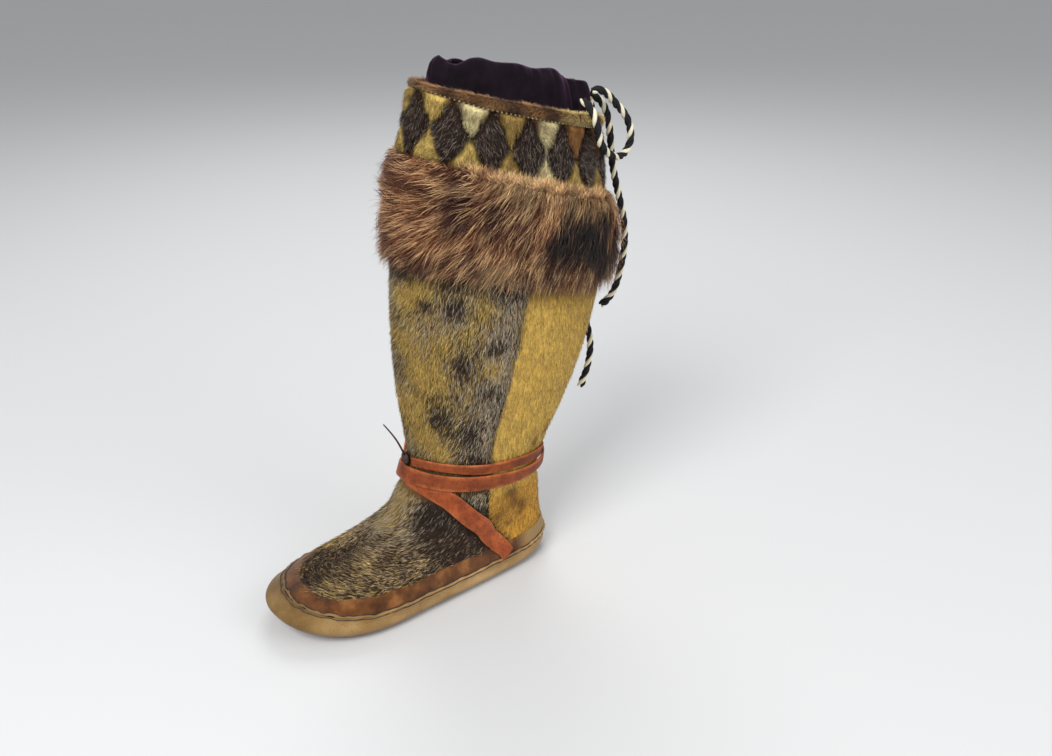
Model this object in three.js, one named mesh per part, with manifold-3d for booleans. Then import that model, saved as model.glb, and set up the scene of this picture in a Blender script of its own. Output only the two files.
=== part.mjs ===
// Soft fur winter boot for the left foot: a hide sole turned up round the foot, a fur upper,
// a deep fur cuff, a fur mosaic band, a cloth drawstring collar and leather ankle straps.
// Millimetres. +X is the outer side, -Y the toe, +Z up. The origin is on the floor under the ankle.
import * as THREE from 'three';
import { mergeVertices } from 'three/addons/utils/BufferGeometryUtils.js';
import Module from 'manifold-3d';

const wasm = await Module();
wasm.setup();

// Driving dimensions
const FOOT_LENGTH = 262;
const BALL_WIDTH = 112;
const SHAFT_HEIGHT = 435;
const TOE_SPRING = 12;
const SPRING_START = 0.46;
const ARCH_LIFT = 1.5;

// Gaps between pieces that touch: along an edge, and under a strip of fur
const GAP = 0.3;
const FUR_GAP = 0.8;

// Walls and strips
const UPPER_WALL = 2;
const SOLE_WALL = 3;
const SEAM_BEAD = 1.4;
const BAND_THICKNESS = 1.4;
const MOSAIC_THICKNESS = 1.4;
const PATCH_CROWN = 1.2;
const BINDING_THICKNESS = 4;
const CLOTH_WALL = 1.6;
const HEM_WALL = 5;
const STRAP_THICKNESS = 1.8;
const CORD_DIAMETER = 6.4;

// Columns round the foot and shaft, and four for each diamond round the bands at the top
const COLUMNS = 48;
const DIAMONDS = 14;
const DIAMOND_COLUMNS = 4;
const DIAMOND_PHASE = 1;

// Where each piece begins and ends, in rings of the table below
const SEAM = 4;
const BAND_TOP = 5;
const CUFF_BOTTOM = 15.75;
const CUFF_TOP = 18;
const MOSAIC_TOP = 18.88;
const SHAFT_TOP = 19;

// The rows of a table with each value under its column's name
function named(columns, rows) {
  return rows.map((cells) => Object.fromEntries(columns.map((name, i) => [name, cells[i]])));
}

// Rings of the skin from the edge of the underside to the top of the shaft. toe and heel are how
// far the ring reaches before and behind the ankle, as shares of the foot length. toeUp and heelUp
// are their heights, as shares of the shaft height. half is the half width as a share of the ball
// width. ground says how much of the spring and arch the ring follows, bend how late it climbs
// to the toe, and morph turns the foot's plan, 0, into an oval, 1.
const RING_COLUMNS = ['toe', 'toeUp', 'heel', 'heelUp', 'half', 'ground', 'bend', 'morph'];
const RING_ROWS = [
  [0.655, 0.000, -0.184, 0.000, 0.395, 1.0, 1.0, 0.00],
  [0.724, 0.007, -0.224, 0.007, 0.456, 1.0, 1.0, 0.00],
  [0.756, 0.020, -0.246, 0.019, 0.498, 1.0, 1.0, 0.00],
  [0.756, 0.034, -0.251, 0.033, 0.503, 1.0, 1.0, 0.00],
  [0.697, 0.053, -0.246, 0.048, 0.484, 1.0, 2.0, 0.00],
  [0.634, 0.078, -0.236, 0.080, 0.432, 0.7, 2.0, 0.05],
  [0.555, 0.095, -0.229, 0.112, 0.397, 0.3, 1.8, 0.20],
  [0.452, 0.119, -0.225, 0.143, 0.374, 0.0, 1.5, 0.40],
  [0.370, 0.149, -0.223, 0.172, 0.360, 0.0, 1.2, 0.60],
  [0.311, 0.191, -0.221, 0.199, 0.353, 0.0, 1.0, 0.80],
  [0.269, 0.243, -0.221, 0.225, 0.355, 0.0, 1.0, 1.00],
  [0.243, 0.300, -0.226, 0.252, 0.362, 0.0, 1.0, 1.00],
  [0.250, 0.360, -0.256, 0.292, 0.372, 0.0, 1.0, 1.00],
  [0.264, 0.436, -0.318, 0.358, 0.386, 0.0, 1.0, 1.00],
  [0.270, 0.528, -0.384, 0.444, 0.398, 0.0, 1.0, 1.00],
  [0.266, 0.634, -0.436, 0.544, 0.406, 0.0, 1.0, 1.00],
  [0.250, 0.728, -0.460, 0.628, 0.410, 0.0, 1.0, 1.00],
  [0.228, 0.810, -0.462, 0.700, 0.412, 0.0, 1.0, 1.00],
  [0.204, 0.890, -0.452, 0.768, 0.410, 0.0, 1.0, 1.00],
  [0.154, 1.000, -0.430, 0.910, 0.404, 0.0, 1.0, 1.00],
];
const RINGS = named(RING_COLUMNS, RING_ROWS);

// Fullness of the foot's plan against an ellipse, every 30 degrees from the toe to the heel
const PLAN_COLUMNS = ['outer', 'inner'];
const PLAN_ROWS = [
  [1.33, 1.48],
  [1.33, 1.44],
  [1.15, 1.15],
  [0.87, 0.77],
  [0.79, 0.74],
  [0.87, 0.87],
  [0.87, 0.87],
];
const PLAN = named(PLAN_COLUMNS, PLAN_ROWS);

const clamp = THREE.MathUtils.clamp;
const smooth = THREE.MathUtils.smoothstep;
const degrees = THREE.MathUtils.degToRad;

// A smooth curve through one column of a table, read at a fractional row
function column(table, name, at) {
  const last = table.length - 1;
  const i = clamp(Math.floor(at), 0, last - 1);
  const f = at - i;
  const value = (k) => table[clamp(k, 0, last)][name];
  const slopeIn = (value(i + 1) - value(i - 1)) / 2;
  const slopeOut = (value(i + 2) - value(i)) / 2;
  const f2 = f * f;
  const f3 = f2 * f;
  return (2 * f3 - 3 * f2 + 1) * value(i) + (f3 - 2 * f2 + f) * slopeIn
    + (3 * f2 - 2 * f3) * value(i + 1) + (f3 - f2) * slopeOut;
}

// Height of the underside over the floor: toe spring, and a low arch on the inner side
function ground(forward, side) {
  const start = SPRING_START * FOOT_LENGTH;
  const end = RINGS[2].toe * FOOT_LENGTH;
  const spring = TOE_SPRING * clamp((forward - start) / (end - start), 0, 1.2) ** 2;
  const along = smooth(forward, 34, 60) * (1 - smooth(forward, 70, 100));
  const across = smooth(-side, 4, 34);
  return spring + ARCH_LIFT * along * across;
}

// A point of the skin: ring number, angle from the toe round the outer side, in radians
function skinPoint(ring, angle) {
  const get = (name) => column(RINGS, name, ring);
  const turn = THREE.MathUtils.euclideanModulo(angle, 2 * Math.PI);
  const inner = turn > Math.PI;
  const planRow = (inner ? 2 * Math.PI - turn : turn) / degrees(30);
  const fullness = column(PLAN, inner ? 'inner' : 'outer', planRow);
  const toe = get('toe') * FOOT_LENGTH;
  const heel = get('heel') * FOOT_LENGTH;
  const along = Math.cos(turn);
  const across = Math.sin(turn) * THREE.MathUtils.lerp(fullness, 1, clamp(get('morph'), 0, 1));
  const forward = (toe + heel) / 2 + (toe - heel) / 2 * along;
  const side = get('half') * BALL_WIDTH * across;
  const climb = ((along + 1) / 2) ** get('bend');
  const height = THREE.MathUtils.lerp(get('heelUp'), get('toeUp'), climb) * SHAFT_HEIGHT;
  const up = height + clamp(get('ground'), 0, 1) * ground(forward, side);
  return new THREE.Vector3(side, -forward, up);
}

function skinNormal(ring, angle) {
  const step = 0.01;
  const low = Math.max(ring - step, 0);
  const high = Math.min(ring + step, SHAFT_TOP);
  const climb = skinPoint(high, angle).sub(skinPoint(low, angle));
  const round = skinPoint(ring, angle + step).sub(skinPoint(ring, angle - step));
  return round.cross(climb).normalize();
}

// The skin moved out along its normal
function skin(ring, angle, lift = 0) {
  return skinPoint(ring, angle).addScaledVector(skinNormal(ring, angle), lift);
}

// Angles of the columns, evenly spaced along the oval of the shaft
function evenAngles(count) {
  const ring = MOSAIC_TOP;
  const parts = 2000;
  const reach = [0];
  let last = skinPoint(ring, 0);
  for (let i = 1; i <= parts; i += 1) {
    const next = skinPoint(ring, (i / parts) * 2 * Math.PI);
    reach.push(reach[i - 1] + next.distanceTo(last));
    last = next;
  }
  const angles = [];
  let i = 0;
  for (let k = 0; k < count; k += 1) {
    const want = (k / count) * reach[parts];
    while (reach[i + 1] < want) i += 1;
    const f = (want - reach[i]) / (reach[i + 1] - reach[i]);
    angles.push(((i + f) / parts) * 2 * Math.PI);
  }
  return angles;
}
const ANGLES = evenAngles(COLUMNS);
const TOP_ANGLES = evenAngles(DIAMONDS * DIAMOND_COLUMNS);

// One row of points round the boot; lift may depend on the column
function row(ring, lift = 0, angles = ANGLES) {
  const liftAt = typeof lift === 'function' ? lift : () => lift;
  return angles.map((angle, k) => skin(ring, angle, liftAt(k)));
}

// A geometry from points and triangles
function geometry(points, triangles) {
  const made = new THREE.BufferGeometry();
  const flat = points.flatMap((p) => [p.x, p.y, p.z]);
  made.setAttribute('position', new THREE.Float32BufferAttribute(flat, 3));
  made.setIndex(triangles.flat());
  return mergeVertices(made, 1e-4);
}

// Faces between rows of points that each run round the boot
function rowFaces(rows, closed) {
  const count = rows[0].length;
  const faces = [];
  const bands = closed ? rows.length : rows.length - 1;
  for (let i = 0; i < bands; i += 1) {
    const low = i * count;
    const high = ((i + 1) % rows.length) * count;
    for (let j = 0; j < count; j += 1) {
      const k = (j + 1) % count;
      faces.push([low + j, low + k, high + k], [low + j, high + k, high + j]);
    }
  }
  return faces;
}

// A ring with a wall: rows go up the outside, over the rim and down the inside
function ringSolid(rows) {
  return geometry(rows.flat(), rowFaces(rows, true));
}

// A bowl: rows go from the middle of the underside out, up, over the rim and in to the inside middle
function bowlSolid(rows, under, inside) {
  const count = rows[0].length;
  const points = [...rows.flat(), under, inside];
  const faces = rowFaces(rows, false);
  const last = (rows.length - 1) * count;
  for (let j = 0; j < count; j += 1) {
    const k = (j + 1) % count;
    faces.push([points.length - 2, k, j]);
    faces.push([points.length - 1, last + j, last + k]);
  }
  return geometry(points, faces);
}

// A rod along frames of corner points, closed at both ends
function rodSolid(sections) {
  const sides = sections[0].length;
  const faces = rowFaces(sections, false);
  const last = (sections.length - 1) * sides;
  for (let j = 1; j < sides - 1; j += 1) {
    faces.push([0, j + 1, j]);
    faces.push([last, last + j, last + j + 1]);
  }
  return geometry(sections.flat(), faces);
}

// A closed geometry as a solid that can be joined, and back
function toSolid(shape) {
  const vertProperties = new Float32Array(shape.attributes.position.array);
  const triVerts = new Uint32Array(shape.index.array);
  return new wasm.Manifold(new wasm.Mesh({ numProp: 3, vertProperties, triVerts }));
}

function fromSolid(solid) {
  const mesh = solid.getMesh();
  const made = new THREE.BufferGeometry();
  made.setAttribute('position', new THREE.BufferAttribute(new Float32Array(mesh.vertProperties), 3));
  made.setIndex(new THREE.BufferAttribute(new Uint32Array(mesh.triVerts), 1));
  return made;
}

const boot = new THREE.Group();

function addPiece(name, shape, colour, roughness) {
  const material = new THREE.MeshStandardMaterial({ color: colour, roughness, metalness: 0 });
  const mesh = new THREE.Mesh(shape, material);
  mesh.name = name;
  boot.add(mesh);
}

// Sole: one piece of hide, flat under heel and ball, turned up all round to the seam
const SOLE_MIDDLE = 55;
function makeSole() {
  const rim = SEAM - 0.04;
  const shrink = (share, level) => ANGLES.map((angle) => {
    const edge = skinPoint(0, angle);
    const side = edge.x * share;
    const forward = THREE.MathUtils.lerp(SOLE_MIDDLE, -edge.y, share);
    return new THREE.Vector3(side, -forward, ground(forward, side) + level);
  });
  const outside = [shrink(0.5, 0), row(0), row(1), row(2), row(3), row(3.6), row(3.8, SEAM_BEAD)];
  const lip = [row(rim, SEAM_BEAD), row(rim, -SOLE_WALL)];
  const inside = [row(3, -SOLE_WALL), row(2, -SOLE_WALL), row(1, -SOLE_WALL)];
  const floor = [shrink(0.5, SOLE_WALL)];
  const under = new THREE.Vector3(0, -SOLE_MIDDLE, ground(SOLE_MIDDLE, 0));
  const top = under.clone().setZ(under.z + SOLE_WALL);
  return bowlSolid([...outside, ...lip, ...inside, ...floor], under, top);
}
addPiece('sole', makeSole(), 0xb99258, 0.85);

// Upper: foot and shaft in one hollow wall, open at the collar and over the sole
const OUTER_LEVELS = [
  4.04, 4.5, 5, 5.7, 6.5, 7.3, 8.1, 8.9, 9.7, 10.4, 11.1, 12, 13.2, 14.4, 15.75, 17, 18, 19,
];
const INNER_LEVELS = [19, 17, 14.5, 12.5, 11, 9.8, 8.4, 6.8, 5.4, 4.04];
function makeUpper() {
  const outside = OUTER_LEVELS.map((level) => row(level));
  const inside = INNER_LEVELS.map((level) => row(level, -UPPER_WALL));
  return ringSolid([...outside, ...inside]);
}
addPiece('upper', makeUpper(), 0x7a6440, 0.9);

// Suede band over the edge of the upper, just above the sole
function makeFootBand() {
  const levels = [4.12, 4.5, BAND_TOP];
  const outside = levels.map((level) => row(level, GAP + BAND_THICKNESS));
  const inside = levels.toReversed().map((level) => row(level, GAP));
  return ringSolid([...outside, ...inside]);
}
addPiece('foot_band', makeFootBand(), 0x75461f, 0.9);

// Mosaic band: every patch is crowned, and the joins between diamonds and triangles lie low
function makeMosaic() {
  const low = CUFF_TOP + 0.01;
  const rows = DIAMOND_COLUMNS;
  const middle = rows / 2;
  const onJoin = (k, i) => {
    const place = THREE.MathUtils.euclideanModulo(k - DIAMOND_PHASE + middle, DIAMOND_COLUMNS);
    return Math.abs(place - middle) + Math.abs(i - middle) === middle;
  };
  const outside = [];
  for (let i = 0; i <= rows; i += 1) {
    const level = THREE.MathUtils.lerp(low, MOSAIC_TOP, i / rows);
    const lift = (k) => FUR_GAP + MOSAIC_THICKNESS + (onJoin(k, i) ? 0 : PATCH_CROWN);
    outside.push(row(level, lift, TOP_ANGLES));
  }
  const inside = [MOSAIC_TOP, 18.5, low].map((level) => row(level, FUR_GAP, TOP_ANGLES));
  return ringSolid([...outside, ...inside]);
}
addPiece('mosaic_band', makeMosaic(), 0xb28c50, 0.9);

// Fur binding folded over the top edge of the shaft. level is a ring, lift stands off the skin
// and over is the height above that point.
const BINDING_COLUMNS = ['level', 'lift', 'over'];
const BINDING_ROWS = [
  [MOSAIC_TOP + 0.006, FUR_GAP + 1.4, 0],
  [18.94, FUR_GAP + BINDING_THICKNESS, 0],
  [19, FUR_GAP + 2.6, 1.4],
  [19, -1.6, 2.2],
  [19, -1.6, 0.5],
  [19, FUR_GAP, 0.5],
  [MOSAIC_TOP + 0.006, FUR_GAP, 0],
];
function makeBinding() {
  const edge = named(BINDING_COLUMNS, BINDING_ROWS);
  return ringSolid(edge.map(({ level, lift, over }) => {
    return row(level, lift, TOP_ANGLES).map((p) => p.setZ(p.z + over));
  }));
}
addPiece('top_binding', makeBinding(), 0x6b4426, 0.95);

// Cloth collar: sewn inside the top and gathered above it, with a round hem for the drawstring.
// rise is a share of the collar's height, inset a share of how far the gathers draw it in, wave a
// share of the gathers' depth, and wall the thickness there.
const COLLAR_RISE = { front: 17, back: 28 };
const COLLAR_INSET = { front: 17, side: 7, back: 9 };
// The outer side stands higher and leans in over the mouth
const COLLAR_LEAN = { rise: 7, inset: 9 };
const COLLAR_SEAT = UPPER_WALL + 0.6;
const GATHERS = 10;
const GATHER_DEPTH = 1.6;
const COLLAR_COLUMNS = ['rise', 'inset', 'wave', 'wall'];
const COLLAR_ROWS = [
  [-0.45, 0.00, 0.0, CLOTH_WALL],
  [-0.10, 0.04, 0.0, CLOTH_WALL],
  [0.12, 0.38, 0.3, CLOTH_WALL],
  [0.45, 0.46, 0.8, CLOTH_WALL + 1],
  [0.80, 0.62, 1.0, HEM_WALL],
  [0.97, 0.90, 0.9, HEM_WALL - 1.5],
];
const COLLAR = named(COLLAR_COLUMNS, COLLAR_ROWS);
function collarPoint(angle, k, part, depth) {
  const base = skinPoint(SHAFT_TOP, angle);
  const outward = skinNormal(SHAFT_TOP, angle).setZ(0).normalize();
  const front = (1 + Math.cos(angle)) / 2;
  const turn = (k / TOP_ANGLES.length) * 2 * Math.PI;
  const wave = Math.sin(GATHERS * turn) + 0.5 * Math.sin(7 * turn + 1.3);
  const end = Math.cos(angle) > 0 ? COLLAR_INSET.front : COLLAR_INSET.back;
  const lean = smooth(Math.sin(angle), 0.55, 0.95);
  const drawn = THREE.MathUtils.lerp(COLLAR_INSET.side, end, Math.cos(angle) ** 2) + COLLAR_LEAN.inset * lean;
  const height = THREE.MathUtils.lerp(COLLAR_RISE.back, COLLAR_RISE.front, front) + COLLAR_LEAN.rise * lean;
  const inset = COLLAR_SEAT + part.inset * drawn - part.wave * wave * GATHER_DEPTH + depth;
  const rise = part.rise * height + Math.max(part.rise, 0) * wave * GATHER_DEPTH * 0.8;
  return base.addScaledVector(outward, -inset).setZ(base.z + rise);
}
function makeCollar() {
  const round = (part, depth) => TOP_ANGLES.map((angle, k) => collarPoint(angle, k, part, depth));
  const outside = COLLAR.map((part) => round(part, 0));
  const inside = COLLAR.toReversed().map((part) => round(part, part.wall));
  return ringSolid([...outside, ...inside]);
}
addPiece('cloth_collar', makeCollar(), 0x2b1a30, 0.95);

// Deep fur cuff: a thick ring with locks that hang down and forward. Each tier is a round of
// locks from a root ring to a tip ring, at depths over the skin.
const CUFF_COLUMNS = ['level', 'depth'];
const CUFF_ROWS = [
  [CUFF_BOTTOM, 7],
  [16.1, 12],
  [16.7, 15],
  [17.3, 15.5],
  [17.8, 14],
  [CUFF_TOP, 10],
];
const TIER_COLUMNS = ['count', 'rootRing', 'tipRing', 'rootDepth', 'tipDepth', 'sweep', 'start'];
const TIER_ROWS = [
  [20, 16.35, 15.5, 9, 11, -14, 0],
  [18, 17.45, 16.45, 11, 18, -16, 7],
];
const TIERS = named(TIER_COLUMNS, TIER_ROWS);
const LOCK_HALF_WIDTH = 6.5;
const LOCK_HALF_HEIGHT = 3;
function lockSolid(tier, angle, reach) {
  const sections = [];
  const shares = [0, 0.6, 1];
  const widths = [0.9, 0.9, 0.12];
  shares.forEach((share, i) => {
    const ring = THREE.MathUtils.lerp(tier.rootRing, tier.tipRing, share * reach);
    const turn = angle + degrees(tier.sweep) * share * reach;
    const depth = THREE.MathUtils.lerp(tier.rootDepth, tier.tipDepth, share);
    const middle = skin(ring, turn, depth);
    const out = skinNormal(ring, turn);
    const ahead = skin(ring - 0.05, turn + degrees(tier.sweep) * 0.05, depth).sub(middle).normalize();
    const across = ahead.clone().cross(out).normalize();
    const wide = LOCK_HALF_WIDTH * widths[i];
    const high = LOCK_HALF_HEIGHT * widths[i];
    sections.push([
      middle.clone().addScaledVector(across, wide),
      middle.clone().addScaledVector(out, -high),
      middle.clone().addScaledVector(across, -wide),
      middle.clone().addScaledVector(out, high),
    ]);
  });
  return rodSolid(sections);
}
function makeCuff() {
  const outside = named(CUFF_COLUMNS, CUFF_ROWS).map(({ level, depth }) => row(level, depth, TOP_ANGLES));
  const inside = [CUFF_TOP, 17, 16.3, CUFF_BOTTOM].map((level) => row(level, FUR_GAP, TOP_ANGLES));
  let fur = toSolid(ringSolid([...outside, ...inside]));
  for (const tier of TIERS) {
    for (let k = 0; k < tier.count; k += 1) {
      const share = (k + 0.35 * Math.sin(k * 2.3)) / tier.count;
      const reach = 0.85 + 0.15 * Math.sin(k * 1.7 + tier.start);
      const angle = share * 2 * Math.PI + degrees(tier.start);
      fur = fur.add(toSolid(lockSolid(tier, angle, reach)));
    }
  }
  const bodies = fur.decompose();
  return fromSolid(bodies.reduce((a, b) => (a.volume() > b.volume() ? a : b)));
}
addPiece('fur_cuff', makeCuff(), 0x6a432c, 1);

// Ankle straps: each starts at the sole seam, crosses the instep and goes once round the ankle.
// The outer strap lies against the fur, the inner one over it. angle is in degrees from the toe
// round the outer side, and lift is the strap's underside over the skin.
const STRAP_COLUMNS = ['ring', 'angle', 'lift', 'width'];
const OUTER_STRAP_ROWS = [
  [4.22, 123, 2.2, 14],
  [4.90, 119, 2.2, 15],
  [6.30, 107, 1.2, 16],
  [7.85, 90, 1.2, 16.5],
  [9.45, 62, 1.2, 16],
  [10.05, 37, 1.2, 14],
  [10.25, 12, 1.2, 12],
  [10.35, -15, 1.2, 12],
  [10.45, -50, 1.2, 11],
  [10.45, -95, 1.2, 11],
  [10.60, -140, 1.2, 11],
  [10.85, -170, 1.2, 11],
  [11.00, 165, 1.2, 10],
  [11.15, 140, 1.2, 10],
  [11.15, 111, 1.2, 9],
  [11.02, 80, 1.2, 9],
  [11.02, 50, 1.2, 8],
  [10.98, 27, 1.2, 8],
  [10.90, 9, 1.4, 7],
];
const INNER_STRAP_ROWS = [
  [4.22, -123, 2.2, 14],
  [4.90, -119, 2.2, 15],
  [6.30, -107, 1.2, 16],
  [7.80, -90, 1.2, 16.5],
  [9.20, -64, 2.2, 16],
  [9.95, -40, 3.8, 14],
  [10.30, -14, 3.8, 13],
  [10.44, 12, 3.8, 13],
  [10.46, 35, 3.8, 13.5],
  [10.42, 62, 3.2, 13.5],
  [10.40, 94, 2.6, 12.5],
  [10.42, 125, 3.6, 10],
  [10.52, 152, 3.8, 10],
  [10.60, 180, 3.8, 10],
  [10.85, -150, 3.8, 10],
  [11.10, -110, 3.8, 9],
  [11.15, -70, 2.6, 9],
  [11.04, -35, 1.4, 8],
  [10.90, -9, 1.4, 7],
];
const STRAP_STATIONS = 58;
function strapSolid(rows) {
  const table = named(STRAP_COLUMNS, rows);
  for (let i = 1; i < table.length; i += 1) {
    const turns = Math.round((table[i - 1].angle - table[i].angle) / 360);
    table[i].angle += turns * 360;
  }
  const centre = (at) => {
    const ring = column(table, 'ring', at);
    const angle = degrees(column(table, 'angle', at));
    return { point: skin(ring, angle, column(table, 'lift', at)), out: skinNormal(ring, angle) };
  };
  const last = table.length - 1;
  const sections = [];
  for (let i = 0; i <= STRAP_STATIONS; i += 1) {
    const at = (i / STRAP_STATIONS) * last;
    const { point, out } = centre(at);
    const ahead = centre(Math.min(at + 0.02, last)).point.sub(centre(Math.max(at - 0.02, 0)).point).normalize();
    const across = ahead.clone().cross(out).normalize();
    const up = across.clone().cross(ahead).normalize();
    const half = column(table, 'width', at) / 2;
    const edge = (side) => point.clone().addScaledVector(across, side * half);
    const top = (side) => edge(side).addScaledVector(up, STRAP_THICKNESS);
    sections.push([edge(1), edge(-1), top(-1), top(1)]);
  }
  return rodSolid(sections);
}
addPiece('strap_outer', strapSolid(OUTER_STRAP_ROWS), 0x9a4a22, 0.55);
addPiece('strap_inner', strapSolid(INNER_STRAP_ROWS), 0x9a4a22, 0.55);

// Drawstring: a loop at the back of the collar and two tails that hang behind the cuff.
// The routes are free cord, so their points are places in millimetres.
const CORD_SIDES = 8;
const CORD_STEP_DIAMETERS = 3;
const LOOP_ROUTE = [
  [20, 99.6, 420], [20, 105, 421], [19, 114, 417], [18, 123, 409], [18, 132, 400], [18, 138, 390],
  [18, 140, 378], [20, 134, 369], [25, 123, 367], [31, 112, 371], [37, 102, 377], [41, 94, 386],
  [43, 90, 397], [42, 87, 407], [36, 85, 414], [29.2, 84, 416],
];
const TAIL_A_ROUTE = [
  [6, 104.3, 414], [6, 111, 413], [6, 119, 407], [6, 125, 395], [6, 128, 379], [6, 130, 362],
  [7, 134, 342], [7, 140, 322], [7, 145, 302], [7, 146, 282], [6, 144, 264], [6, 140, 249],
  [6, 134, 238], [6, 124, 231],
];
const TAIL_B_ROUTE = [
  [-8, 106, 412], [-11, 114, 411], [-15, 122, 402], [-19, 127, 386], [-22, 131, 364], [-26, 137, 338],
  [-31, 142, 312], [-35, 141, 292], [-38, 135, 274], [-37, 124, 256], [-31, 116, 241], [-21, 116, 227],
  [-10, 119, 211], [-2, 119, 193], [1, 115, 173], [0, 108, 152],
];
function cordSolid(route, diameter) {
  const path = new THREE.CatmullRomCurve3(route.map(([x, y, z]) => new THREE.Vector3(x, y, z)));
  const corners = Array.from({ length: CORD_SIDES }, (_, i) => {
    const turn = (i / CORD_SIDES) * 2 * Math.PI;
    return new THREE.Vector2(Math.cos(turn), Math.sin(turn)).multiplyScalar(diameter / 2);
  });
  const steps = Math.round(path.getLength() / (CORD_STEP_DIAMETERS * diameter));
  const made = new THREE.ExtrudeGeometry(new THREE.Shape(corners), { steps, extrudePath: path });
  made.deleteAttribute('normal');
  made.deleteAttribute('uv');
  return mergeVertices(made, 1e-3);
}
addPiece('drawstring_loop', cordSolid(LOOP_ROUTE, CORD_DIAMETER), 0x8f897c, 0.8);
addPiece('drawstring_tail_a', cordSolid(TAIL_A_ROUTE, CORD_DIAMETER), 0x8f897c, 0.8);
addPiece('drawstring_tail_b', cordSolid(TAIL_B_ROUTE, CORD_DIAMETER), 0x8f897c, 0.8);

// Where the straps meet on the instep: a small knot, and the stiff end of its thong standing up
const KNOT_RING = 10.9;
const KNOT_LIFT = 4.1;
const KNOT_RADII = [6, 3.2, 5.5];
function makeKnot() {
  const ball = new THREE.SphereGeometry(1, 12, 8);
  ball.deleteAttribute('normal');
  ball.deleteAttribute('uv');
  const place = skin(KNOT_RING, 0, KNOT_LIFT);
  return mergeVertices(ball.scale(...KNOT_RADII).translate(place.x, place.y, place.z), 1e-3);
}
const THONG_DIAMETER = 2;
const THONG_ROUTE = [
  [1, -69.5, 133.6], [3, -73, 142], [4, -77, 151], [4, -82, 160], [4, -87, 168],
];
addPiece('strap_knot', makeKnot(), 0x4a2a18, 0.6);
addPiece('thong_end', cordSolid(THONG_ROUTE, THONG_DIAMETER), 0x2a1c16, 0.7);

export default boot;
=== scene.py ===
import math

import bpy
import numpy as np
from mathutils import Matrix, Vector


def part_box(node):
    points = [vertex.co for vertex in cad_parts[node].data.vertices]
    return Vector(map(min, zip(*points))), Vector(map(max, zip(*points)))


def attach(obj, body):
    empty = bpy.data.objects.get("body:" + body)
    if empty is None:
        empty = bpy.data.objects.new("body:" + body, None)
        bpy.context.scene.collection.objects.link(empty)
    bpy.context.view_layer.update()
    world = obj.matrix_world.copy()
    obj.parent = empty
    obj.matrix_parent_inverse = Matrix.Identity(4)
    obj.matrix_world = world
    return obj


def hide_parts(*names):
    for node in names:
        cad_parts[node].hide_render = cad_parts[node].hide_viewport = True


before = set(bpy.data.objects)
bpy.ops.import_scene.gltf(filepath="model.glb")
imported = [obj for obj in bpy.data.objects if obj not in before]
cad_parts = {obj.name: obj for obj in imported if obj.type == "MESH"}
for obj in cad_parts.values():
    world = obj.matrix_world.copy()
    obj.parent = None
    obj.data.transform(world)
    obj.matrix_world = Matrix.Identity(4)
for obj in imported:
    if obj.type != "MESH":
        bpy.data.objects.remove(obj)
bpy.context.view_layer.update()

MM = 0.001

# The camera, fitted to the photograph: place in metres, aim in degrees, lens on a 36 mm sensor
CAMERA_PLACE = (0.6791, -0.3411, 0.5600)
CAMERA_TURN = 29.97
CAMERA_DIP = 26.18
CAMERA_ROLL = -0.26
CAMERA_LENS = 33.85

# The boot's own sizes in millimetres, the same as in its CAD source
FOOT_LENGTH = 262
BALL_WIDTH = 112
SHAFT_HEIGHT = 435
TOE_SPRING = 12
SPRING_START = 0.46
ARCH_LIFT = 1.5
UPPER_WALL = 2
SOLE_WALL = 3
SEAM_BEAD = 1.4
BAND_THICKNESS = 1.4
STRAP_THICKNESS = 1.8
CORD_DIAMETER = 6.4
THONG_DIAMETER = 2.0
DIAMONDS = 14
DIAMOND_PHASE = 0.25

# Rings where the pieces meet, as rows of the table below
SEAM = 4.0
SEAM_GAP = 0.04
BAND_TOP = 5.0
CUFF_BOTTOM = 15.75
CUFF_TOP = 18.0
MOSAIC_TOP = 18.88
SHAFT_TOP = 19.0

RING_COLUMNS = ["toe", "toeUp", "heel", "heelUp", "half", "ground", "bend", "morph"]
RING_ROWS = [
    [0.655, 0.000, -0.184, 0.000, 0.395, 1.0, 1.0, 0.00],
    [0.724, 0.007, -0.224, 0.007, 0.456, 1.0, 1.0, 0.00],
    [0.756, 0.020, -0.246, 0.019, 0.498, 1.0, 1.0, 0.00],
    [0.756, 0.034, -0.251, 0.033, 0.503, 1.0, 1.0, 0.00],
    [0.697, 0.053, -0.246, 0.048, 0.484, 1.0, 2.0, 0.00],
    [0.634, 0.078, -0.236, 0.080, 0.432, 0.7, 2.0, 0.05],
    [0.555, 0.095, -0.229, 0.112, 0.397, 0.3, 1.8, 0.20],
    [0.452, 0.119, -0.225, 0.143, 0.374, 0.0, 1.5, 0.40],
    [0.370, 0.149, -0.223, 0.172, 0.360, 0.0, 1.2, 0.60],
    [0.311, 0.191, -0.221, 0.199, 0.353, 0.0, 1.0, 0.80],
    [0.269, 0.243, -0.221, 0.225, 0.355, 0.0, 1.0, 1.00],
    [0.243, 0.300, -0.226, 0.252, 0.362, 0.0, 1.0, 1.00],
    [0.250, 0.360, -0.256, 0.292, 0.372, 0.0, 1.0, 1.00],
    [0.264, 0.436, -0.318, 0.358, 0.386, 0.0, 1.0, 1.00],
    [0.270, 0.528, -0.384, 0.444, 0.398, 0.0, 1.0, 1.00],
    [0.266, 0.634, -0.436, 0.544, 0.406, 0.0, 1.0, 1.00],
    [0.250, 0.728, -0.460, 0.628, 0.410, 0.0, 1.0, 1.00],
    [0.228, 0.810, -0.462, 0.700, 0.412, 0.0, 1.0, 1.00],
    [0.204, 0.890, -0.452, 0.768, 0.410, 0.0, 1.0, 1.00],
    [0.154, 1.000, -0.430, 0.910, 0.404, 0.0, 1.0, 1.00],
]
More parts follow.
